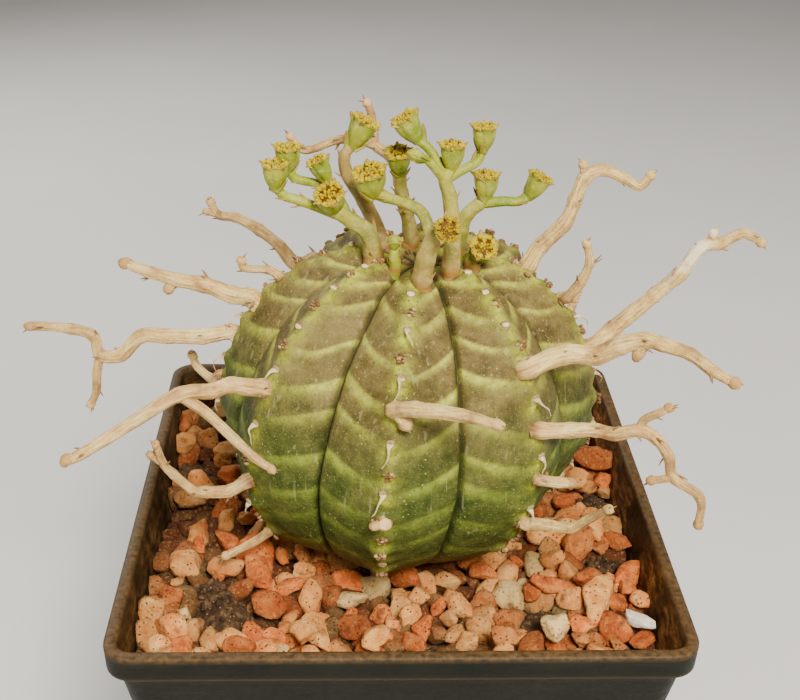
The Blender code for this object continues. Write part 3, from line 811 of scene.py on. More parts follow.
# Profiles of a flower cup: (share of its length, share of its radius)
CUP_OUTSIDE = [(-0.20, 0.02), (-0.16, 0.30), (-0.04, 0.40), (0.10, 0.54), (0.26, 0.68), (0.44, 0.79),
               (0.62, 0.86), (0.78, 0.89)]
CUP_LIP = [(0.90, 0.92), (0.98, 0.98), (1.0, 0.95), (0.96, 0.88), (0.88, 0.82), (0.80, 0.74), (0.76, 0.05)]
BUD_TIP = [(0.80, 0.66), (0.95, 0.36), (1.02, 0.08)]
WIDEST_BUD = 1.6  # millimetres of radius
GLANDS = 5
CENTRE_KNOBS = 14


def walk(start, steps):
    """Points reached one after another by steps in millimetres."""
    points = [np.asarray(start, float)]
    for step in steps:
        points.append(points[-1] + np.asarray(step, float) * MM)
    return points


def stalk_paths(rib, latitude, steps, thick, thin, forks, side):
    """Control points and radii of the trunk and of each fork. The trunk starts in the skin. They are the
    CAD's own, except that the front stalk thins more here."""
    azimuth = rib_angle(rib) + math.radians(side)
    normal = skin_normal(np.array([azimuth]), np.array([float(latitude)]))[0]
    foot = plain_skin(azimuth, latitude) + normal * 0.45 * MM
    trunk = [foot] + walk(foot + normal * thick * 0.9 * MM, steps)
    radii = np.linspace(thick, thin, len(trunk)) * MM
    found = [(trunk, radii)]
    for leaves, fork_steps, first, last in forks:
        fork = walk(trunk[leaves + 1], fork_steps)
        found.append((fork, np.linspace(first, last, len(fork)) * MM))
    found[0] = ([foot - normal * 1.3 * MM] + trunk, np.concatenate([[radii[0] * 1.05], radii]))
    return found


def rounded_end(along, radius):
    """Closes a tube's end like a thumb."""
    reach = max(radius[-1] * 0.95, 1e-5)
    late = np.clip((along - (along[-1] - reach)) / reach, 0, 0.985)
    return radius * np.sqrt(1 - late ** 2)


def limb(soup, control, radii, draw, tint, foot, ridges=6, ridge_high=0.06, knot_high=0.13, sides=24,
         mauve=None):
    """One smooth length of stalk with swollen knots. Returns (path, radius, distance along, knots)."""
    path, index = smooth_path(control, 0.28 * MM)
    radius = np.interp(index, np.arange(len(radii)), radii)
    along = lengths(path)
    knots = [along[np.argmin(np.abs(index - number))] for number in range(2, len(control) - 1)]
    knot = np.zeros(len(path))
    for place in knots:
        knot += draw.uniform(0.4, 1.0) * np.exp(-((along - place) / (0.75 * MM)) ** 2)
    phase = draw.uniform(0, 6)
    drift = fbm(np.stack([along * 260 + phase, 0 * along, 0 * along], axis=1), 3, 13)
    radius = radius * (0.97 + knot_high * knot + 0.10 * drift)
    radius = rounded_end(along, radius)
    shift = draw.uniform(0, 50)

    def lump(distance, angle):
        where = np.stack([np.cos(angle) * 1.3, np.sin(angle) * 1.3, distance * 330 + shift], axis=-1)
        rough = fbm(where.reshape(-1, 3), 3, 4).reshape(angle.shape)
        furrow = np.sin(ridges * angle + phase + distance * 55 + 1.2 * rough)
        return 1 + ridge_high * furrow + 1.7 * ridge_high * rough

    tube, faces, reach, angle = sweep(path, radius, sides, lump)
    collar = 1.3 * np.exp(-((along - 1.9 * MM) / (0.6 * MM)) ** 2) if foot else 0 * along
    patchy = smoothstep(-0.2, 0.5, fbm(tube * 500, 2, 19))
    knot_all = np.concatenate([np.repeat(knot * 0.55 + collar, sides), [0, 0.6]]) * (0.35 + 0.65 * patchy)
    if mauve is None:
        knot_all = np.clip(knot_all, 0, 1)
        values = dict(along=reach, side_x=np.cos(angle), side_y=np.sin(angle), knot=knot_all, tint=tint)
    else:
        scar = np.concatenate([np.repeat(collar, sides), [0, 0]]) * 0.8
        values = dict(mauve=np.clip(np.interp(reach, [0, reach.max()], mauve), 0, 1), tip=scar)
    soup.add(tube, faces, **values)
    return path, radius, along, knots


def around_knots(grown, choices, draw):
    """For each small scale on a knot: the place in the limb, its radius there, the ways out and along."""
    path, radius, along, knots = grown
    tangent = tangents(path)
    for place in knots:
        for _ in range(draw.choice(choices)):
            at = int(np.argmin(np.abs(along - place)))
            out = outward(frame_along(tangent[at]), draw.uniform(0, FULL_TURN))
            yield path[at], radius[at], out, tangent[at]


def spur(soup, start, direction, bend, length, width, flat=0.6, **values):
    """A small pointed scale, nub or claw."""
    direction = unit(direction)
    points = [start - direction * 0.25 * length]
    for share in (0.0, 0.33, 0.66, 1.0):
        points.append(start + direction * length * share + np.asarray(bend) * length * share ** 2)
    path, _ = smooth_path(points, length / 9)
    share = np.linspace(0, 1, len(path))
    radius = width * (1 - share) ** 0.7 + 0.03 * MM
    sides = 9
    tube, faces, reach, angle = sweep(path, radius, sides, lambda s, a: 1 + 0.12 * np.sin(3 * a + 2), flat)
    share_all = np.concatenate([np.repeat(share, sides), [0, 1]])
    filled = {key: value(share_all) if callable(value) else value for key, value in values.items()}
    if "along" in filled:
        filled["along"], filled["side_x"], filled["side_y"] = reach, np.cos(angle), np.sin(angle)
    soup.add(tube, faces, **filled)


def wood(tint, knot):
    """The wood numbers for a spur, which finds its own length and sides."""
    return dict(along=0.0, knot=knot, tint=tint, bleach=0.0)


def steady(tint, knot):
    """The wood numbers for a lump, which has no length of its own."""
    return dict(wood(tint, knot), side_x=0.3, side_y=0.2)


def dry_stalk(name, rib, latitude, steps, thick, thin, forks=(), side=0.0, style=""):
    draw = random.Random(name)
    soup = Soup()
    tint = draw.random() * 0.8 + 0.1
    if style == "pink":
        tint = 0.0
    paths = stalk_paths(rib, latitude, steps, thick, thin, forks, side)
    for number, (control, radii) in enumerate(paths):
        grown = limb(soup, control, radii, draw, tint, number == 0)
        for inside, radius, out, along in around_knots(grown, (0, 1, 1, 2), draw):
            spur(soup, inside + out * radius * 0.8, out + along * draw.uniform(0.3, 1.1), along * 0.4,
                 draw.uniform(0.7, 1.7) * MM, draw.uniform(0.25, 0.45) * MM,
                 **wood(tint, draw.uniform(0.3, 1.0)))
        if style == "stump":
            continue
        path, radius = grown[:2]
        end, ahead = path[-1], tangents(path)[-2]
        axes = frame_along(ahead)
        ball_size = np.array([1.25, 1.25, 1.5]) * max(radius[-6], 0.5 * MM)
        scale_lump(soup, end - ahead * 0.6 * MM, axes, ball_size, draw, 2, 0.35, **steady(tint, 0.65))
        for _ in range(draw.choice((2, 3, 3))):
            out = outward(axes, draw.uniform(0, FULL_TURN))
            spur(soup, end - ahead * 0.5 * MM, ahead + out * draw.uniform(0.4, 1.1),
                 out * draw.uniform(-0.4, 0.4), draw.uniform(0.9, 1.9) * MM, 0.36 * MM, **wood(tint, 0.8))
    if style == "stump":
        trunk = paths[0][0]
        tip, ahead = trunk[-1], trunk[-1] - trunk[-2]
        axes = frame_along(ahead)
        scale_lump(soup, tip, axes, np.array([1.25, 1.0, 0.5]) * MM, draw, 3, 0.25, **steady(0.0, 0.55))
        second = tip - axes[:, 0] * 1.5 * MM - ahead * 0.4
        scale_lump(soup, second, axes, np.array([1.1, 0.8, 1.2]) * MM, draw, 3, 0.2, **steady(0.0, 0.85))
        claw = tip + np.array([-0.9, 0.4, 1.0]) * MM
        spur(soup, claw, (-0.4, -0.6, 1.0), (0.3, -0.2, 0), 1.8 * MM, 0.5 * MM, **wood(0.3, 0.3))
    if style == "peeled":
        points = np.concatenate(soup.points)
        middle = points[:, 0] - (points[:, 0].min() + 0.62 * np.ptp(points[:, 0]))
        patchy = smoothstep(-0.1, 0.25, fbm(points * 230, 3, 3) + 0.12)
        soup.values["bleach"] = [(0, np.exp(-(middle / (4.5 * MM)) ** 4) * patchy)]
    soup.build(name + "_wood", WOOD, "dry_stalk_wood", [name])


def flower_head(soup, discs, end, direction, radius, length, draw, orange):
    """A bell-shaped cup of bracts with five glands round a knobbly centre, or a closed bud if it is small."""
    axes = frame_along(direction)
    top = axes[:, 2]
    closed = radius < WIDEST_BUD
    wide, tall = radius * MM, length * MM
    profile = CUP_OUTSIDE[:-1] + BUD_TIP if closed else CUP_OUTSIDE + CUP_LIP
    path, _ = smooth_path([(share, width, 0) for share, width in profile], 0.045)
    sides = 40
    angle = np.linspace(0, FULL_TURN, sides, endpoint=False)[None, :]
    share, width = path[:, 0][:, None], np.maximum(path[:, 1], 0.01)[:, None]
    lobed = 1 + 0.07 * smoothstep(-0.1, 0.5, share) * np.cos(5 * angle)
    lobed = lobed + 0.02 * np.cos(10 * angle + 4 * share)
    reach = width * lobed * wide
    local = np.stack([reach * np.cos(angle), reach * np.sin(angle), share * tall + 0 * angle], axis=-1)
    points = local.reshape(-1, 3) @ axes.T + end
    points += 0.09 * MM * fbm(points * 900, 2, 6)[:, None] * (points - end) / (wide + tall)
    ends = np.array([end + top * path[0, 0] * tall, end + top * path[-1, 0] * tall])
    rim = smoothstep(0.84, 1.0, np.repeat(path[:, 0], sides)) * 0.30
    soup.add(np.concatenate([points, ends]), closed_faces(len(path), sides), mauve=0.10,
             tip=np.concatenate([rim, [0, 0.4]]))
    for number in range(GLANDS):
        out = outward(axes, number * FULL_TURN / GLANDS + 0.3)
        start = end + top * tall * (0.55 if closed else 0.90) + out * wide * 0.84
        spur(soup, start, top * 0.7 + out * (0.1 if closed else 0.9), out * 0.25, 0.42 * wide, 0.30 * wide,
             0.45, mauve=0.35, tip=lambda s: smoothstep(0.25, 1.0, s))
    for _ in range(draw.choice((2, 3))):
        out = outward(axes, draw.uniform(0, FULL_TURN))
        spur(soup, end + out * wide * 0.40 - top * 0.05 * tall, top + out * 0.9, top * 0.3, 0.45 * tall,
             0.34 * wide, 0.4, mauve=0.3, tip=lambda s: smoothstep(0.3, 0.95, s) * 0.8)
    if closed:
        return
    # Painted shade: a dark brown disc under the glands and knobs, which shows in the gaps between them
    base_size = np.array([0.84 * wide, 0.84 * wide, 0.10 * tall])
    scale_lump(discs, end + top * tall * 0.88, axes, base_size, draw, 3, 0.12, deep=1.0)

    def grain(height, reach, size, spread, tones):
        """A knob of the gland in hand, at a height and reach drawn from spans of the cup's own."""
        spot = end + top * tall * draw.uniform(*height) + out * wide * draw.uniform(*reach)
        scale_lump(discs, spot, gland_axes, np.array(size) * wide * draw.uniform(*spread), draw, 2, 0.3,
                   deep=draw.choice(tones) + orange)

    for number in range(GLANDS):
        middle = number * FULL_TURN / GLANDS + draw.uniform(-0.08, 0.08)
        for step in (-2, -1, 0, 1, 2):
            out = outward(axes, middle + step * 0.215)
            gland_axes = np.stack([out, np.cross(top, out), top], axis=1)
            grain((0.96, 1.04), (0.74, 0.88), (0.19, 0.115, 0.13), (0.8, 1.25), (0.0, 0.0, 0.12))
            if step not in (-2, 2):
                grain((0.94, 1.0), (0.50, 0.62), (0.12, 0.09, 0.11), (0.6, 1.2), (0.0, 0.1, 0.4))
    for number in range(CENTRE_KNOBS):
        out = outward(axes, number * 2.4)
        inner = out * wide * 0.42 * math.sqrt(number / CENTRE_KNOBS)
        spot = end + inner + top * tall * draw.uniform(0.92, 1.04)
        size = np.array([0.10, 0.10, 0.15]) * wide * draw.uniform(0.8, 1.2)
        scale_lump(discs, spot, axes, size, draw, 2, 0.2, deep=draw.choice((0.0, 0.05, 0.3)) + orange)


def fresh_stalk(name, rib, latitude, steps, thick, thin, forks=(), side=0.0, cups=(), mauve=(0.9, 0.1),
                orange=0.0):
    draw = random.Random(name)
    soup, discs = Soup(), Soup()
    tips = []
    for number, (control, radii) in enumerate(stalk_paths(rib, latitude, steps, thick, thin, forks, side)):
        blend = mauve if number == 0 else (mauve[1], 0.0)
        grown = limb(soup, control, radii, draw, 0.0, number == 0, 5, 0.04, 0.10, 22, blend)
        tips.append(grown[0][-1])
        for inside, radius, out, along in around_knots(grown, (1, 2, 2), draw):
            spur(soup, inside + out * radius * 0.85, out * 0.8 + along, along * 0.3,
                 draw.uniform(0.9, 1.6) * MM, draw.uniform(0.35, 0.6) * MM, 0.5, mauve=0.5,
                 tip=lambda s: smoothstep(0.1, 0.8, s))
    for tip, direction, radius, length in cups:
        flower_head(soup, discs, tips[tip], direction, radius, length, draw, orange if tip == 0 else 0.0)
    soup.build(name + "_flesh", FLOWER, "flower_stalk_green", [name])
    if discs.count:
        discs.build(name + "_discs", NECTAR, "flower_stalk_green")


# ---------------------------------------------------------------- gravel and soil

BASE_HALF = 35 * MM
UNDER_LIP = RIM_HALF - 1.0 * MM
WALL = 1.2 * MM
LIP_HIGH = 5 * MM
POT_FLOOR = 1.6 * MM
DRAIN_RADIUS = 4 * MM
DRAIN_OFFSET = 21 * MM


def outer_half(z):
    """Half the pot's outer side at this height."""
    return BASE_HALF + (UNDER_LIP - BASE_HALF) * z / RIM_Z


def room_half(z):
    """Half the side of the space in the pot at this height."""
    return outer_half(z) - WALL - 0.35 * MM


def rise(x):
    """The gravel lies a little higher towards the left and right walls."""
    left = 4.6 * MM * smoothstep(-20 * MM, -44 * MM, x)
    return left + 2.0 * MM * smoothstep(24 * MM, 44 * MM, x)


ROOM_HALF = room_half(BED_Z)
# Where bare soil shows between the stones: x, y and radius in millimetres
CLUMPS = [(-31, -28, 7), (27, -27, 6), (40, -13, 6), (-43, 17, 5), (-34, -22, 4), (0, -37, 5), (41, 8, 5),
          (14, -37, 4), (30, 36, 7), (-20, 41, 6), (-41, 38, 4), (8, 43, 5)]
FLOOR_OF_STONES = BED_Z - 8.5 * MM  # no stone's centre lies lower
STONES = 1120
LOOSE_STONES = 18  # the CAD's own
SIDE_SPLIT = 26 * MM
STONE_SHAPES = 36
CHIP_PLACE = np.array([43.0 * MM, -32 * MM, BED_Z + 2.6 * MM])
CHIP_SIZE = np.array([2.8, 2.2, 2.4]) * MM


def within_walls(points):
    """The points, with any that would stand in the pot's wall moved back to it."""
    wall = room_half(points[:, 2:])
    points[:, :2] = np.clip(points[:, :2], -wall, wall)
    return points


def stone_shape(draw, level):
    """One pitted, worn fragment about one unit in radius."""
    ball, faces = BALLS[level]
    points = ball.copy()
    for _ in range(draw.randint(6, 10)):
        normal = unit([draw.gauss(0, 1) for _ in range(3)])
        over = points @ normal - draw.uniform(0.42, 0.82)
        points -= normal * (np.maximum(over, 0) * 0.96)[:, None]
    shift = draw.uniform(0, 100)
    rough = 0.30 * fbm(ball * 1.2 + shift, 2, 2)
    points = points * (1.06 + rough + 0.085 * fbm(ball * 4.0 + shift, 3, 7))[:, None]
    pits = value_noise(ball * 8 + shift, 11)
    points *= (1 - 0.05 * smoothstep(0.35, 0.75, pits))[:, None]
    size = [draw.uniform(1.0, 1.35), draw.uniform(0.62, 0.95), draw.uniform(0.6, 0.9)]
    return points * np.array(size), faces


def spin(draw, tilt):
    turn = Matrix.Rotation(draw.uniform(0, FULL_TURN), 3, "Z")
    lean = Matrix.Rotation(draw.gauss(0, tilt), 3, "X") @ Matrix.Rotation(draw.gauss(0, tilt), 3, "Y")
    return np.array(turn @ lean)


SQUASH = 0.74  # stones lie closer together in height than across
TOP_LAYER = 1.9  # millimetres over the bed that a stone's centre may lie, before its own radius
EXTRA_BY_WALL = 1.1
BURIED_DEPTH = 4.6  # millimetres under the top where a stone is in full shade


def settle(fixed):
    """(places, radii) of the gravel, pushed apart between the walls, the plant and the fixed stones."""
    draw = np.random.default_rng(7)
    count = STONES
    radii = draw.uniform(1.5, 2.7, count) * MM
    radii[: count // 3] = draw.uniform(2.3, 3.4, count // 3) * MM
    across = draw.uniform(-1, 1, count) * ROOM_HALF
    deep = draw.uniform(-1, 1, count) * ROOM_HALF
    places = np.stack([across, deep, draw.uniform(FLOOR_OF_STONES, BED_Z + 2 * MM, count)], axis=1)
    big = np.array(fixed)
    all_radii = np.concatenate([radii, big[:, 3]])
    moving = np.concatenate([np.ones(count), np.zeros(len(big))])
    points = np.concatenate([places, big[:, :3]])
    clumps = np.array(CLUMPS, float) * MM
    body = np.array([PLANT_X, PLANT_Y])
    for _ in range(170):
        flat = points / np.array([1, 1, SQUASH])
        gap = flat[:, None] - flat[None]
        distance = np.linalg.norm(gap, axis=2) + 1e-9
        overlap = (all_radii[:, None] + all_radii[None]) * 0.92 - distance
        np.fill_diagonal(overlap, 0)
        push = np.maximum(overlap, 0)[..., None] * gap / distance[..., None]
        move = push.sum(axis=1) * 0.32 * np.array([1, 1, SQUASH])
        move[:, 2] -= 0.03 * MM
        away = points[:, None, :2] - clumps[None, :, :2]
        near = np.linalg.norm(away, axis=2) + 1e-9
        shove = np.maximum(clumps[None, :, 2] * 0.8 + 0.7 * all_radii[:, None] - near, 0)
        shove *= (points[:, 2] > BED_Z - 5 * MM)[:, None]
        move[:, :2] += (shove[..., None] * away / near[..., None]).sum(axis=1) * 0.25
        points += move * moving[:, None]
        height = points[:, 2] - WIDEST_Z
        latitude = np.degrees(np.arcsin(np.clip(height / BELOW_WIDEST, -0.999, 0)))
        off = points[:, :2] - body - np.stack([LEAN * height, 0 * height], axis=1)
        reach = np.linalg.norm(off, axis=1) + 1e-9
        need = crest_line(latitude)[0] * 0.99 + all_radii * 0.80
        short = np.maximum(need - reach, 0) * moving
        points[:, :2] += off / reach[:, None] * short[:, None]
        room = room_half(points[:, 2]) - all_radii * 0.60
        for axis in (0, 1):
            inside = np.clip(points[:, axis], -room, room)
            points[:, axis] = np.where(moving > 0, inside, points[:, axis])
        low = FLOOR_OF_STONES + all_radii * 0.5
        by_wall = smoothstep(35 * MM, 45 * MM, np.abs(points[:, :2]).max(axis=1))
        high = BED_Z + (TOP_LAYER + EXTRA_BY_WALL * by_wall) * MM - 0.35 * all_radii
        points[:, 2] = np.where(moving > 0, np.clip(points[:, 2], low, high), points[:, 2])
    places = points[:count]
    lift = rise(places[:, 0])
    places[:, :2] *= (room_half(places[:, 2] + lift) / room_half(places[:, 2]))[:, None]
    places[:, 2] += lift
    return places, radii


def gravel_tone(draw):
    """(tone, light): mostly salmon and red, now and then cream."""
    pick = draw.random()
    span = (0.93, 1.0) if pick > 0.965 else (0.42, 0.88) if pick > 0.36 else (0, 0.45)
    return draw.uniform(*span), draw.uniform(0.1, 1.0)


def side_of(place):
    """Which side of the pot a stone lies on."""
    if abs(place[1]) > SIDE_SPLIT:
        return "front" if place[1] < 0 else "back"
    return "left" if place[0] < 0 else "right"


def build_gravel():
    """The gravel as one piece for each side of the pot, and each of the CAD's larger stones by itself."""
    draw = random.Random(3)
    fixed = []
    for index in range(LOOSE_STONES):
        name = "stone_%02d" % (index + 1)
        low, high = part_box(name)
        size = high - low
        wide = max(size.x, size.y)
        fixed.append((*((low + high) / 2), 0.5 * wide * 0.86))
        soup = Soup()
        points, faces = stone_shape(draw, 3)
        points /= np.abs(points).max(axis=0)
        turn = np.array(Matrix.Rotation(draw.uniform(0, 6), 3, "Z"))
        half = np.array([wide * 0.5, min(size.x, size.y) * 0.44, size.z * 0.55])
        middle = np.array((low + high) / 2) - np.array([0, 0, 0.2 * MM])
        tone, light = gravel_tone(draw)
        soup.add(within_walls(middle + (points * half) @ turn.T), [faces], tone=tone, light=light)
        soup.build(name + "_rough", GRAVEL, "red_gravel", [name])
    places, radii = settle(fixed)
    shapes = {level: [stone_shape(draw, level) for _ in range(STONE_SHAPES)] for level in (2, 3)}
    sides = {"front": Soup(), "left": Soup(), "right": Soup(), "back": Soup()}
    for place, radius in zip(places, radii):
        level = 3 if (place[2] > BED_Z - 5.5 * MM) else 2
        points, faces = shapes[level][draw.randrange(STONE_SHAPES)]
        tone, light = gravel_tone(draw)
        # Painted shade: stones lying deeper under the gravel's top are darkened, fully at BURIED_DEPTH
        depth = BED_Z + rise(place[:1])[0] - place[2]
        light *= float(smoothstep(BURIED_DEPTH * MM, 0.8 * MM, depth))
        size = radius * draw.uniform(1.06, 1.30)
        spun = within_walls(points @ (spin(draw, 0.38) * size).T + place)
        sides[side_of(place)].add(spun, [faces], tone=tone, light=light)
    for side, soup in sides.items():
        soup.build("gravel_" + side, GRAVEL, "red_gravel", ["gravel_bed"] if side == "front" else [])
    chip = Soup()
    points, faces = stone_shape(draw, 3)
    chip_points = CHIP_PLACE + points @ (spin(draw, 0.3) * CHIP_SIZE).T
    chip.add(within_walls(chip_points), [faces], tone=1.0, light=1.0)
    chip.build("white_chip", CHALK, "red_gravel")


def soil_height(x, y):
    """Top of the soil between the stones, with crumbly mounds that reach the surface."""
    flat = np.stack([x, y, 0 * x], axis=-1)
    height = BED_Z - 6.2 * MM + 1.3 * MM * fbm(flat * 190, 3, 14) + rise(x)
    for cx, cy, size in CLUMPS:
        near = np.hypot(x - cx * MM, y - cy * MM) / (size * MM)
        height = height + 4.2 * MM * np.exp(-near ** 2 * 1.3) * (1 + 0.2 * fbm(flat * 400, 2, 3))
    return height


def build_soil():
    cells = 170
    line = np.linspace(-ROOM_HALF, ROOM_HALF, cells)
    x, y = (grid.ravel() for grid in np.meshgrid(line, line))
    crumbs = 0.25 * MM * fbm(np.stack([x, y, 0 * x], axis=-1) * 1100, 2, 5)
    top = np.stack([x, y, soil_height(x, y) + crumbs], axis=-1)
    edge = np.concatenate([np.arange(cells), np.arange(2 * cells - 1, cells * cells, cells),
                           np.arange(cells * cells - 2, cells * (cells - 1) - 1, -1),
                           np.arange(cells * (cells - 2), 0, -cells)])
    top[:, :2] *= (room_half(top[:, 2:]) - 0.1 * MM) / ROOM_HALF
    low = top[edge].copy()
    low[:, :2] *= (room_half(SOIL_LOW) - 0.1 * MM) / (room_half(low[:, 2:]) - 0.1 * MM)
    low[:, 2] = SOIL_LOW
    count = len(edge)
    base = cells * cells
    ring = np.arange(count)
    after = (ring + 1) % count
    walls = np.stack([edge, base + ring, base + after, edge[after]], axis=1)
    foot = np.array([[0, 0, SOIL_LOW]])
    bottom = np.stack([np.full(count, base + count), base + after, base + ring], axis=1)
    soup = Soup()
    soup.add(np.concatenate([top, low, foot]), [grid_faces(cells, cells, False), walls, bottom])
    draw = random.Random(17)
    for cx, cy, size in CLUMPS:
        for _ in range(90):
            angle = draw.uniform(0, FULL_TURN)
            reach = size * MM * 1.15 * math.sqrt(draw.random())
            spot = np.array([cx * MM + reach * math.cos(angle), cy * MM + reach * math.sin(angle)])
            spot = np.clip(spot, -ROOM_HALF + 1.6 * MM, ROOM_HALF - 1.6 * MM)
            z = soil_height(spot[:1], spot[1:])[0]
            lump = np.array([1.0, draw.uniform(0.5, 0.9), draw.uniform(0.5, 0.9)])
            lump = lump * draw.uniform(0.35, 1.0) * MM
            scale_lump(soup, np.array([*spot, z + 0.1 * MM]), spin(draw, 0.6), lump, draw, 2, 0.45)
    soup.build("soil_crumbs", SOIL, "potting_soil", ["soil"])


# ---------------------------------------------------------------- pot


def square_ring(half, corner, z, per_side, per_corner):
    """Points of a rounded square, starting at its right side."""
    points = []
    for side in range(4):
        turn = side * math.pi / 2
        ax = np.array([math.cos(turn), math.sin(turn)])
        ay = np.array([-math.sin(turn), math.cos(turn)])
        for share in np.linspace(-1, 1, per_side):
            points.append(ax * half + ay * share * (half - corner))
        for step in range(1, per_corner):
            angle = step / per_corner * math.pi / 2
            centre = ax * (half - corner) + ay * (half - corner)
            points.append(centre + (ax * math.cos(angle) + ay * math.sin(angle)) * corner)
    return np.array([[x, y, z] for x, y in points])


def pot_rows():
    """Rows of (height, half side, corner radius in mm) up the pot's outside, and down its inside."""
    lip_z = RIM_Z - LIP_HIGH
    brim = outer_half(RIM_Z) - WALL
    outside = [(0.0, outer_half(0) - 0.7 * MM, 3.6), (0.0001, outer_half(0) - 0.35 * MM, 3.8),
               (0.35 * MM, outer_half(0) - 0.06 * MM, 4.0)]
    outside += [(z, outer_half(z), 4.0) for z in np.linspace(1.2 * MM, lip_z - 0.5 * MM, 40)]
    outside += [(lip_z - 0.25 * MM, outer_half(lip_z) + 0.12 * MM, 4.1), (lip_z, RIM_HALF - 0.45 * MM, 4.6),
                (lip_z + 0.25 * MM, RIM_HALF - 0.22 * MM, 4.8)]
    outside += [(z, RIM_HALF - 0.18 * MM + 0.16 * MM * (z - lip_z) / LIP_HIGH, 5.0)
                for z in np.linspace(lip_z + 0.8 * MM, RIM_Z - 0.6 * MM, 6)]
    outside += [(RIM_Z - 0.22 * MM, RIM_HALF - 0.10 * MM, 4.9),
                (RIM_Z - 0.03 * MM, RIM_HALF - 0.40 * MM, 4.6), (RIM_Z, RIM_HALF - 0.85 * MM, 4.2)]
    within = [(RIM_Z, RIM_HALF - 1.45 * MM, 3.6), (RIM_Z - 0.08 * MM, brim + 0.25 * MM, 3.1),
              (RIM_Z - 0.35 * MM, brim + 0.04 * MM, 2.9)]
    down = np.linspace(RIM_Z - 1.0 * MM, POT_FLOOR + 0.6 * MM, 44)
    within += [(z, outer_half(z) - WALL, 2.8) for z in down]
    foot = outer_half(POT_FLOOR) - WALL
    within += [(POT_FLOOR + 0.15 * MM, foot - 0.15 * MM, 2.7), (POT_FLOOR, foot - 0.6 * MM, 2.5)]
    return outside, within


def build_pot():
    outside, within = pot_rows()
    per_side, per_corner = ((52, 8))
    rings = [square_ring(half, corner * MM, z, per_side, per_corner) for z, half, corner in outside + within]
    columns = len(rings[0])
    points = np.concatenate(rings)
    height = points[:, 2]
    weak = np.sin(math.pi * np.clip(height / RIM_Z, 0, 1) ** 1.3) * 0.25 * MM
    weak += 0.12 * MM * smoothstep(0.8, 1, height / RIM_Z)
    flatness = fbm(np.stack([points[:, 0] * 26, points[:, 1] * 26, height * 9], axis=1), 2, 40)
    out = points * np.array([1, 1, 0]) / (np.abs(points[:, :2]).max(axis=1)[:, None] + 1e-9)
    shift = weak * (flatness - 0.35)
    points = points + out * shift[:, None] * np.where(height > RIM_Z - 6 * MM, 0.5, 1)[:, None]
    full = np.concatenate([points, [[0, 0, 0.0], [0, 0, POT_FLOOR]]])
    inside = np.repeat([0.0] * len(outside) + [1.0] * len(within), columns)
    inside = np.concatenate([inside, [0, 1]])
    high = full[:, 2]
    streak = fbm(np.stack([full[:, 0] * 120, full[:, 1] * 120, high * 45], axis=1), 3, 41)
    stain = inside * smoothstep(-0.35, 0.35, streak + 0.25) * smoothstep(RIM_Z + 1 * MM, RIM_Z - 3 * MM, high)
    stain *= 0.40 + 0.60 * smoothstep(-20 * MM, 20 * MM, full[:, 0])
    outside_dust = (1 - inside) * smoothstep(0.25, 0.7, streak) * 0.06
    rim = smoothstep(RIM_Z - 1.2 * MM, RIM_Z - 0.1 * MM, high)
    lip_edge = np.exp(-((high - (RIM_Z - LIP_HIGH)) / (0.5 * MM)) ** 2) * (1 - inside)
    soup = Soup()
    soup.add(full, closed_faces(len(rings), columns), stain=np.clip(stain + outside_dust, 0, 1),
             edge=np.clip(rim + 0.6 * lip_edge, 0, 1))
    cut_drains(soup.build("pot_shell", PLASTIC, "pot_plastic", ["pot"]))


def cut_drains(pot):
    """Cuts the four drainage holes out of the pot's floor."""
    cutters = []
    for number in range(4):
        turn = math.radians(45 + 90 * number)
        builder = bmesh.new()
        bmesh.ops.create_cone(builder, cap_ends=True, segments=40, radius1=DRAIN_RADIUS, radius2=DRAIN_RADIUS,
                              depth=8 * MM)
        offset = (DRAIN_OFFSET * math.cos(turn), DRAIN_OFFSET * math.sin(turn), 0)
        bmesh.ops.translate(builder, verts=builder.verts[:], vec=offset)
        cutters.append(add_object("drain_cut_%d" % number, made_mesh("drain_cut_%d" % number, builder)))
        step = pot.modifiers.new(cutters[-1].name, "BOOLEAN")
        step.object, step.operation, step.solver = cutters[-1], "DIFFERENCE", "EXACT"
    bpy.context.view_layer.update()
    cut = bpy.data.meshes.new_from_object(pot.evaluated_get(bpy.context.evaluated_depsgraph_get()))
    pot.modifiers.clear()
    pot.data = cut
    for cutter in cutters:
        bpy.data.objects.remove(cutter, do_unlink=True)


def made_mesh(name, builder):
    mesh = bpy.data.meshes.new(name)
    builder.to_mesh(mesh)
    builder.free()
    return mesh


# ---------------------------------------------------------------- the object


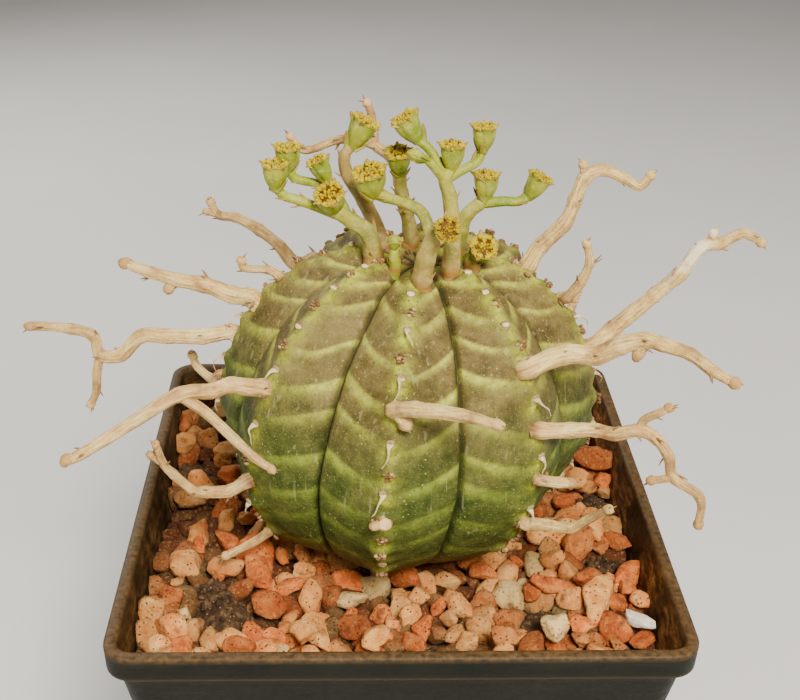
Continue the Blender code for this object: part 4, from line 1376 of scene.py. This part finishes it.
# Stalks stand on a rib at a latitude in degrees and grow by steps in millimetres. Each fork leaves the trunk
# at a step. (name, rib, latitude, steps, first and last radius, forks, degrees to the side, style)
DRY_STALKS = [
    ("dry_stalk_left_rear_high", 5, 33, [(-3.5, -1, -0.5), (-3.5, 1.5, 3.5), (-4, 3, 2), (-5, 4, 1),
     (-4, 4, -1), (-2, 1, 3)], 1.7, 0.7, [(5, [(-3, 1, 0.5)], 0.8, 0.6)]),
    ("dry_stalk_left_small", 6, 48, [(-2, 0.5, 1), (-4.5, 1, 0), (-0.5, 0, 2)], 1.0, 0.6),
    ("dry_stalk_left_thick", 6, 36, [(-3, -2, 1.5), (-5, 1, 1.5), (-5, 0, 1), (-5, 1, 1), (-5, 0, 2)],
     2.1, 0.9, [(3, [(-2, 0, -2)], 1.1, 0.7)]),
    ("dry_stalk_left_long", 6, 22, [(-5, -2, 0), (-6.5, 0, 0), (-5, 0, 0), (-4, 0, -4), (-4, 0, 0),
     (-1, 0, 4), (-4, 0, 1.5), (-5, 0, 0.5), (-3, 0, 0)], 1.7, 0.8,
     [(5, [(-1, 0, -4), (-0.5, 0, -4), (-1.5, 0, -3.5)], 1.0, 0.7)]),
    ("dry_stalk_left_rear_low", 6, 5, [(-2, 2, -2), (-3, 3, 1), (-1, 0, 3)], 1.1, 0.7),
    ("dry_stalk_left_front_fork", 7, 26, [(-2, -1.5, 1), (-3, -1, 1), (-3, -2, 0), (-5, -3, 1), (-7.5, 0, -5),
     (-8.5, -4, -4), (-3, -1, -1)], 1.7, 0.9,
     [(4, [(4.2, 1, -4.2), (4.6, -1.5, -4.2), (3.6, -2, -2.5), (3.2, -1.5, -1.5)], 1.0, 0.6)]),
    ("dry_stalk_left_low", 7, -8, [(-3, 0, -2), (-4, -1, 0.5), (-2, -1, 1), (-3, -1, 4), (-1.5, -1, 3),
     (-1, -1, 5)], 1.4, 0.6, [(5, [(-2.5, 0, 2)], 0.7, 0.5)]),
    ("dry_stalk_left_bottom", 7, -34, [(-3, 0, -2.5), (-4, -2, -1), (-1.5, -1, 0)], 1.1, 0.6),
    ("dry_stalk_front", 0, 31, [(3, -3, 2), (7.5, -4.5, 1.5), (5.5, -3, 0)], 1.8, 0.75,
     [(0, [(2, -2, -2)], 1.2, 0.8)]),
    ("dry_stump_front", 0, -6, [(0.3, -1, 0.5)], 1.3, 1.3, (), 0, "stump"),
    ("dry_stalk_right_high", 2, 60, [(2, 1, 3), (4, 0, 4.5), (1.5, 0, 4.5), (1.5, 0.5, 4), (3, 0, 1.5),
     (4, 0, -1.5), (3, 0, -1.5), (2, 0, 2.5)], 1.7, 0.7, [(4, [(-0.7, 0, 3)], 0.9, 0.6)], 5),
    ("dry_stalk_right_slim", 2, 46, [(0.5, -2, 1), (2, -1.5, 4), (1, -0.5, 4), (-1, 0, 4)], 1.2, 0.7),
    ("dry_stalk_right_long", 2, 26, [(4, 3, 2), (7, 0, 7), (4, -1, 5), (3, 0, 5), (2, 0, 1), (1.5, 0, 0),
     (3.5, 0, 2), (2, 0, -0.5), (2.5, 0, -1.5)], 1.7, 0.7, [(5, [(0, 0, 2.5)], 0.9, 0.6)], 0, "peeled"),
    ("dry_stalk_right_thick", 1, 38, [(5.5, 1, 2), (5.5, -1, 0.5), (3.5, -2, 3), (3.5, -2, 2), (2.5, -1.5, 0),
     (4, -2.5, -0.5), (3.5, -2, -2), (3.5, -2.5, -1)], 2.0, 0.8, [(4, [(-1, 0.5, -3.5)], 1.2, 0.8)]),
    ("dry_stalk_right_drooping", 1, 19, [(5, 1, -0.5), (4.5, 0, 0), (3, -2, 0.5), (3.5, -2, 2),
     (2.5, -2, -0.5), (2, -1.5, -2.5), (1, -1, -3.5), (4, -3, -2), (0.5, 0, -6)], 1.5, 0.7,
     [(4, [(0.5, 0, 2), (1.5, -2, 2.5), (2, -1, 2)], 0.9, 0.6), (7, [(-4, 0.5, -1)], 0.8, 0.6)]),
    ("dry_stub_right", 1, 2, [(3.5, 1.5, -1.5), (3, 0.5, -0.5)], 1.2, 0.9),
    ("dry_stalk_right_low", 1, -17, [(4.5, 3, -2.5), (4, -1, 0), (3, -1, 3), (3, -2, 3.5)], 1.4, 0.7),
    ("dry_stalk_crown_rear", 4, 73, [(-1, 0, 4), (-1, 0, 4.5), (-1.5, 0, 4.5), (-3, 0, 2.5), (-0.5, 0, 2),
     (-0.5, 0, 4), (-1, 0, 2.5)], 1.5, 0.6,
     [(4, [(-3, 0, 1), (-4, 0, 0), (-6, 0, -2), (-3, 0, 3)], 1.0, 0.6)], 14, "pink"),
    ("dry_stalk_back_fork", 4, 24, [(0, 5, 1), (1, 6, 1), (2, 4, -2)], 1.6, 0.8,
     [(2, [(-4, 3, 2)], 0.9, 0.6)]),
    ("dry_stalk_back_right", 3, 8, [(3, 3, 0), (4, 3, 2), (2, 3, 3)], 1.4, 0.7),
    ("dry_stalk_back_left", 5, 2, [(-3, 3, -1), (-3, 3, 0.5), (-1, 3, 3)], 1.3, 0.7),
]
UPRIGHT = (0, 0, 1)
# cups: (which tip it ends, counting the trunk as 0, direction, radius and length in millimetres)
FRESH_STALKS = [
    dict(name="flower_stalk_left", rib=6, latitude=76, steps=[(-1, -0.5, 4), (-3, -0.5, 2.5), (-3, -1, 2.5)],
         thick=1.9, thin=1.2, side=27, mauve=(0.75, 0.15),
         forks=[(2, [(-2.5, 0, 1), (-6, 0, 2.5), (-3, 0, 1), (-1.5, 0, 1.5)], 0.9, 0.8),
                (2, [(-3, 2, 4), (-2.5, 1, 1.5), (-4, 0, 1), (-1.5, 0, 1.5)], 0.9, 0.8),
                (2, [(-2.5, 1.5, 4.5), (-1.5, 0.5, 2)], 0.9, 0.8)],
         cups=[(0, (-0.2, -0.6, 1), 2.7, 4.4), (1, UPRIGHT, 2.4, 4.4), (2, UPRIGHT, 2.4, 4.4),
               (3, (-0.5, 0, 1), 2.0, 4.4)]),
    dict(name="flower_stalk_mauve", rib=6, latitude=80,
         steps=[(-3.5, 0, 8), (-3, 0, 5), (-0.5, 0, 3.5), (1.5, 0, 2)], thick=1.6, thin=0.9, side=-10,
         mauve=(1.0, 0.75), cups=[(0, (0.5, 0, 1), 2.6, 5.0)]),
    dict(name="flower_stalk_pale", rib=4, latitude=82, steps=[(-1, -1, 6), (-1, -1.5, 4), (-0.5, -1, 4)],
         thick=1.7, thin=1.0, side=27, mauve=(0.9, 0.35), cups=[(0, (-0.1, -0.3, 1), 2.3, 4.6)]),
    dict(name="flower_stalk_front", rib=0, latitude=71, steps=[(0.5, 0, 3.5), (1, 0, 3), (1.5, -0.5, 2)],
         thick=2.0,
         thin=1.4, side=5, mauve=(0.9, 0.55), orange=0.35,
         forks=[(2, [(-1.5, 2.5, 4), (-2.5, 2.5, 1), (-4, 2, 0.5), (-2, 0, 0.5)], 1.1, 0.9)],
         cups=[(0, (0.3, -1, 0.7), 2.4, 3.4), (1, (-0.2, -0.2, 1), 3.0, 4.6)]),
    dict(name="flower_stalk_right_tall", rib=1, latitude=76,
         steps=[(0, 1, 6), (-0.5, 1.5, 5.5), (-1, 0, 3.5), (1, 0.5, 2)], thick=1.8, thin=1.0, side=-7,
         mauve=(0.9, 0.1),
         forks=[(3, [(-2.5, 1.5, 4.5), (-2.5, 0.5, 2)], 0.9, 0.8),
                (3, [(-2, -0.5, 2.5), (-1.5, -0.5, 1.5)], 0.9, 0.8),
                (3, [(2.5, 1.5, 1), (3, 1, 1.5), (1, 0.5, 2)], 0.9, 0.8)],
         cups=[(0, UPRIGHT, 2.3, 4.2), (1, (-0.5, 0, 0.8), 2.4, 4.6), (2, (-1, 0, 0.4), 1.3, 3.4),
               (3, UPRIGHT, 2.2, 4.2)]),
    dict(name="flower_stalk_right_low", rib=2, latitude=80,
         steps=[(0.5, -0.5, 3.5), (1, 0, 3), (2, 0, 2), (1, 0, 1)], thick=1.6, thin=1.1, side=15,
         mauve=(0.6, 0.1), forks=[(3, [(4, 0, 0.5), (3, 0, 0), (2, 0, 1)], 1.0, 0.8)],
         cups=[(0, UPRIGHT, 2.4, 4.6), (1, (0.5, 0, 1), 2.2, 4.2)]),
    dict(name="flower_on_crown_right", rib=1, latitude=74, steps=[(1, 0, 0.8)], thick=1.5, thin=1.2, side=27,
         cups=[(0, (0.2, -0.8, 1), 2.6, 3.6)]),
    dict(name="flower_bud_crown", rib=7, latitude=77, steps=[(-0.3, -0.3, 2), (0, 0, 1.5)], thick=1.2,
         thin=0.8, side=17,
         mauve=(0.1, 0.0), cups=[(0, UPRIGHT, 1.5, 2.6)]),
]

build_body()
build_scars()
for stalk in DRY_STALKS:
    dry_stalk(*stalk)
for stalk in FRESH_STALKS:
    fresh_stalk(**stalk)
build_pot()
build_soil()
build_gravel()

# ---------------------------------------------------------------- studio


def build_floor():
    builder = bmesh.new()
    bmesh.ops.create_grid(builder, x_segments=8, y_segments=8, size=FLOOR_HALF)
    mesh = made_mesh("studio_floor", builder)
    mesh.materials.append(floor_material())
    floor = add_object("studio_floor", mesh)
    floor.location = (0, 0, -0.2 * MM)


def area_light(name, place, aim_z, size, power, colour):
    """A square lamp aimed at a height over the pot's centre."""
    data = bpy.data.lights.new(name, "AREA")
    data.shape = "SQUARE"
    data.size = size
    data.energy = power
    data.color = colour
    light = add_object(name, data)
    light.location = place
    light.rotation_euler = (Vector((0, 0, aim_z)) - Vector(place)).to_track_quat("-Z", "Y").to_euler()


FLOOR_HALF = 6.0
SOFT_WHITE = (1.0, 0.97, 0.92)
# (name, place, height it is aimed at, side of the square, watts, colour)
LAMPS = [
    ("key", (0.10, -0.40, 0.52), 0.10, 0.16, 7.4, (1.0, 0.94, 0.82)),
    ("fill", (-0.55, -0.30, 0.36), 0.08, 0.40, 1.2, SOFT_WHITE),
    ("back", (-0.30, 0.50, 0.42), 0.08, 0.35, 2.4, SOFT_WHITE),
    ("side", (0.60, 0.20, 0.40), 0.08, 0.35, 1.6, SOFT_WHITE),
]
SKY_COLOUR = (1.0, 0.98, 0.95, 1)
SKY_STRENGTH = 0.22
# The camera's place, in millimetres, its turn to the right, down and sideways, and its focal length
CAMERA_PLACE = (-9.03, -204.73, 230.83)
YAW = math.radians(2.567)
PITCH = math.radians(28.285)
ROLL = math.radians(1.466)
FOCAL_LENGTH = 55.83

build_floor()
for lamp in LAMPS:
    area_light(*lamp)
world = bpy.data.worlds.new("studio")
world.use_nodes = True
sky = world.node_tree.nodes["Background"]
sky.inputs["Color"].default_value = SKY_COLOUR
sky.inputs["Strength"].default_value = SKY_STRENGTH
bpy.context.scene.world = world

ahead = Vector((math.sin(YAW) * math.cos(PITCH), math.cos(YAW) * math.cos(PITCH), -math.sin(PITCH)))
right = Vector((math.cos(YAW), -math.sin(YAW), 0))
up = right.cross(ahead)
camera_right = math.cos(ROLL) * right + math.sin(ROLL) * up
camera_up = math.cos(ROLL) * up - math.sin(ROLL) * right
pose = Matrix((camera_right, camera_up, -ahead)).transposed().to_4x4()
pose.translation = Vector(CAMERA_PLACE) * MM
camera_data = bpy.data.cameras.new("photo_view")
camera_data.sensor_width = 36
camera_data.lens = FOCAL_LENGTH
camera_data.clip_start = 0.01
camera = add_object("photo_view", camera_data)
camera.matrix_world = pose
bpy.context.scene.camera = camera
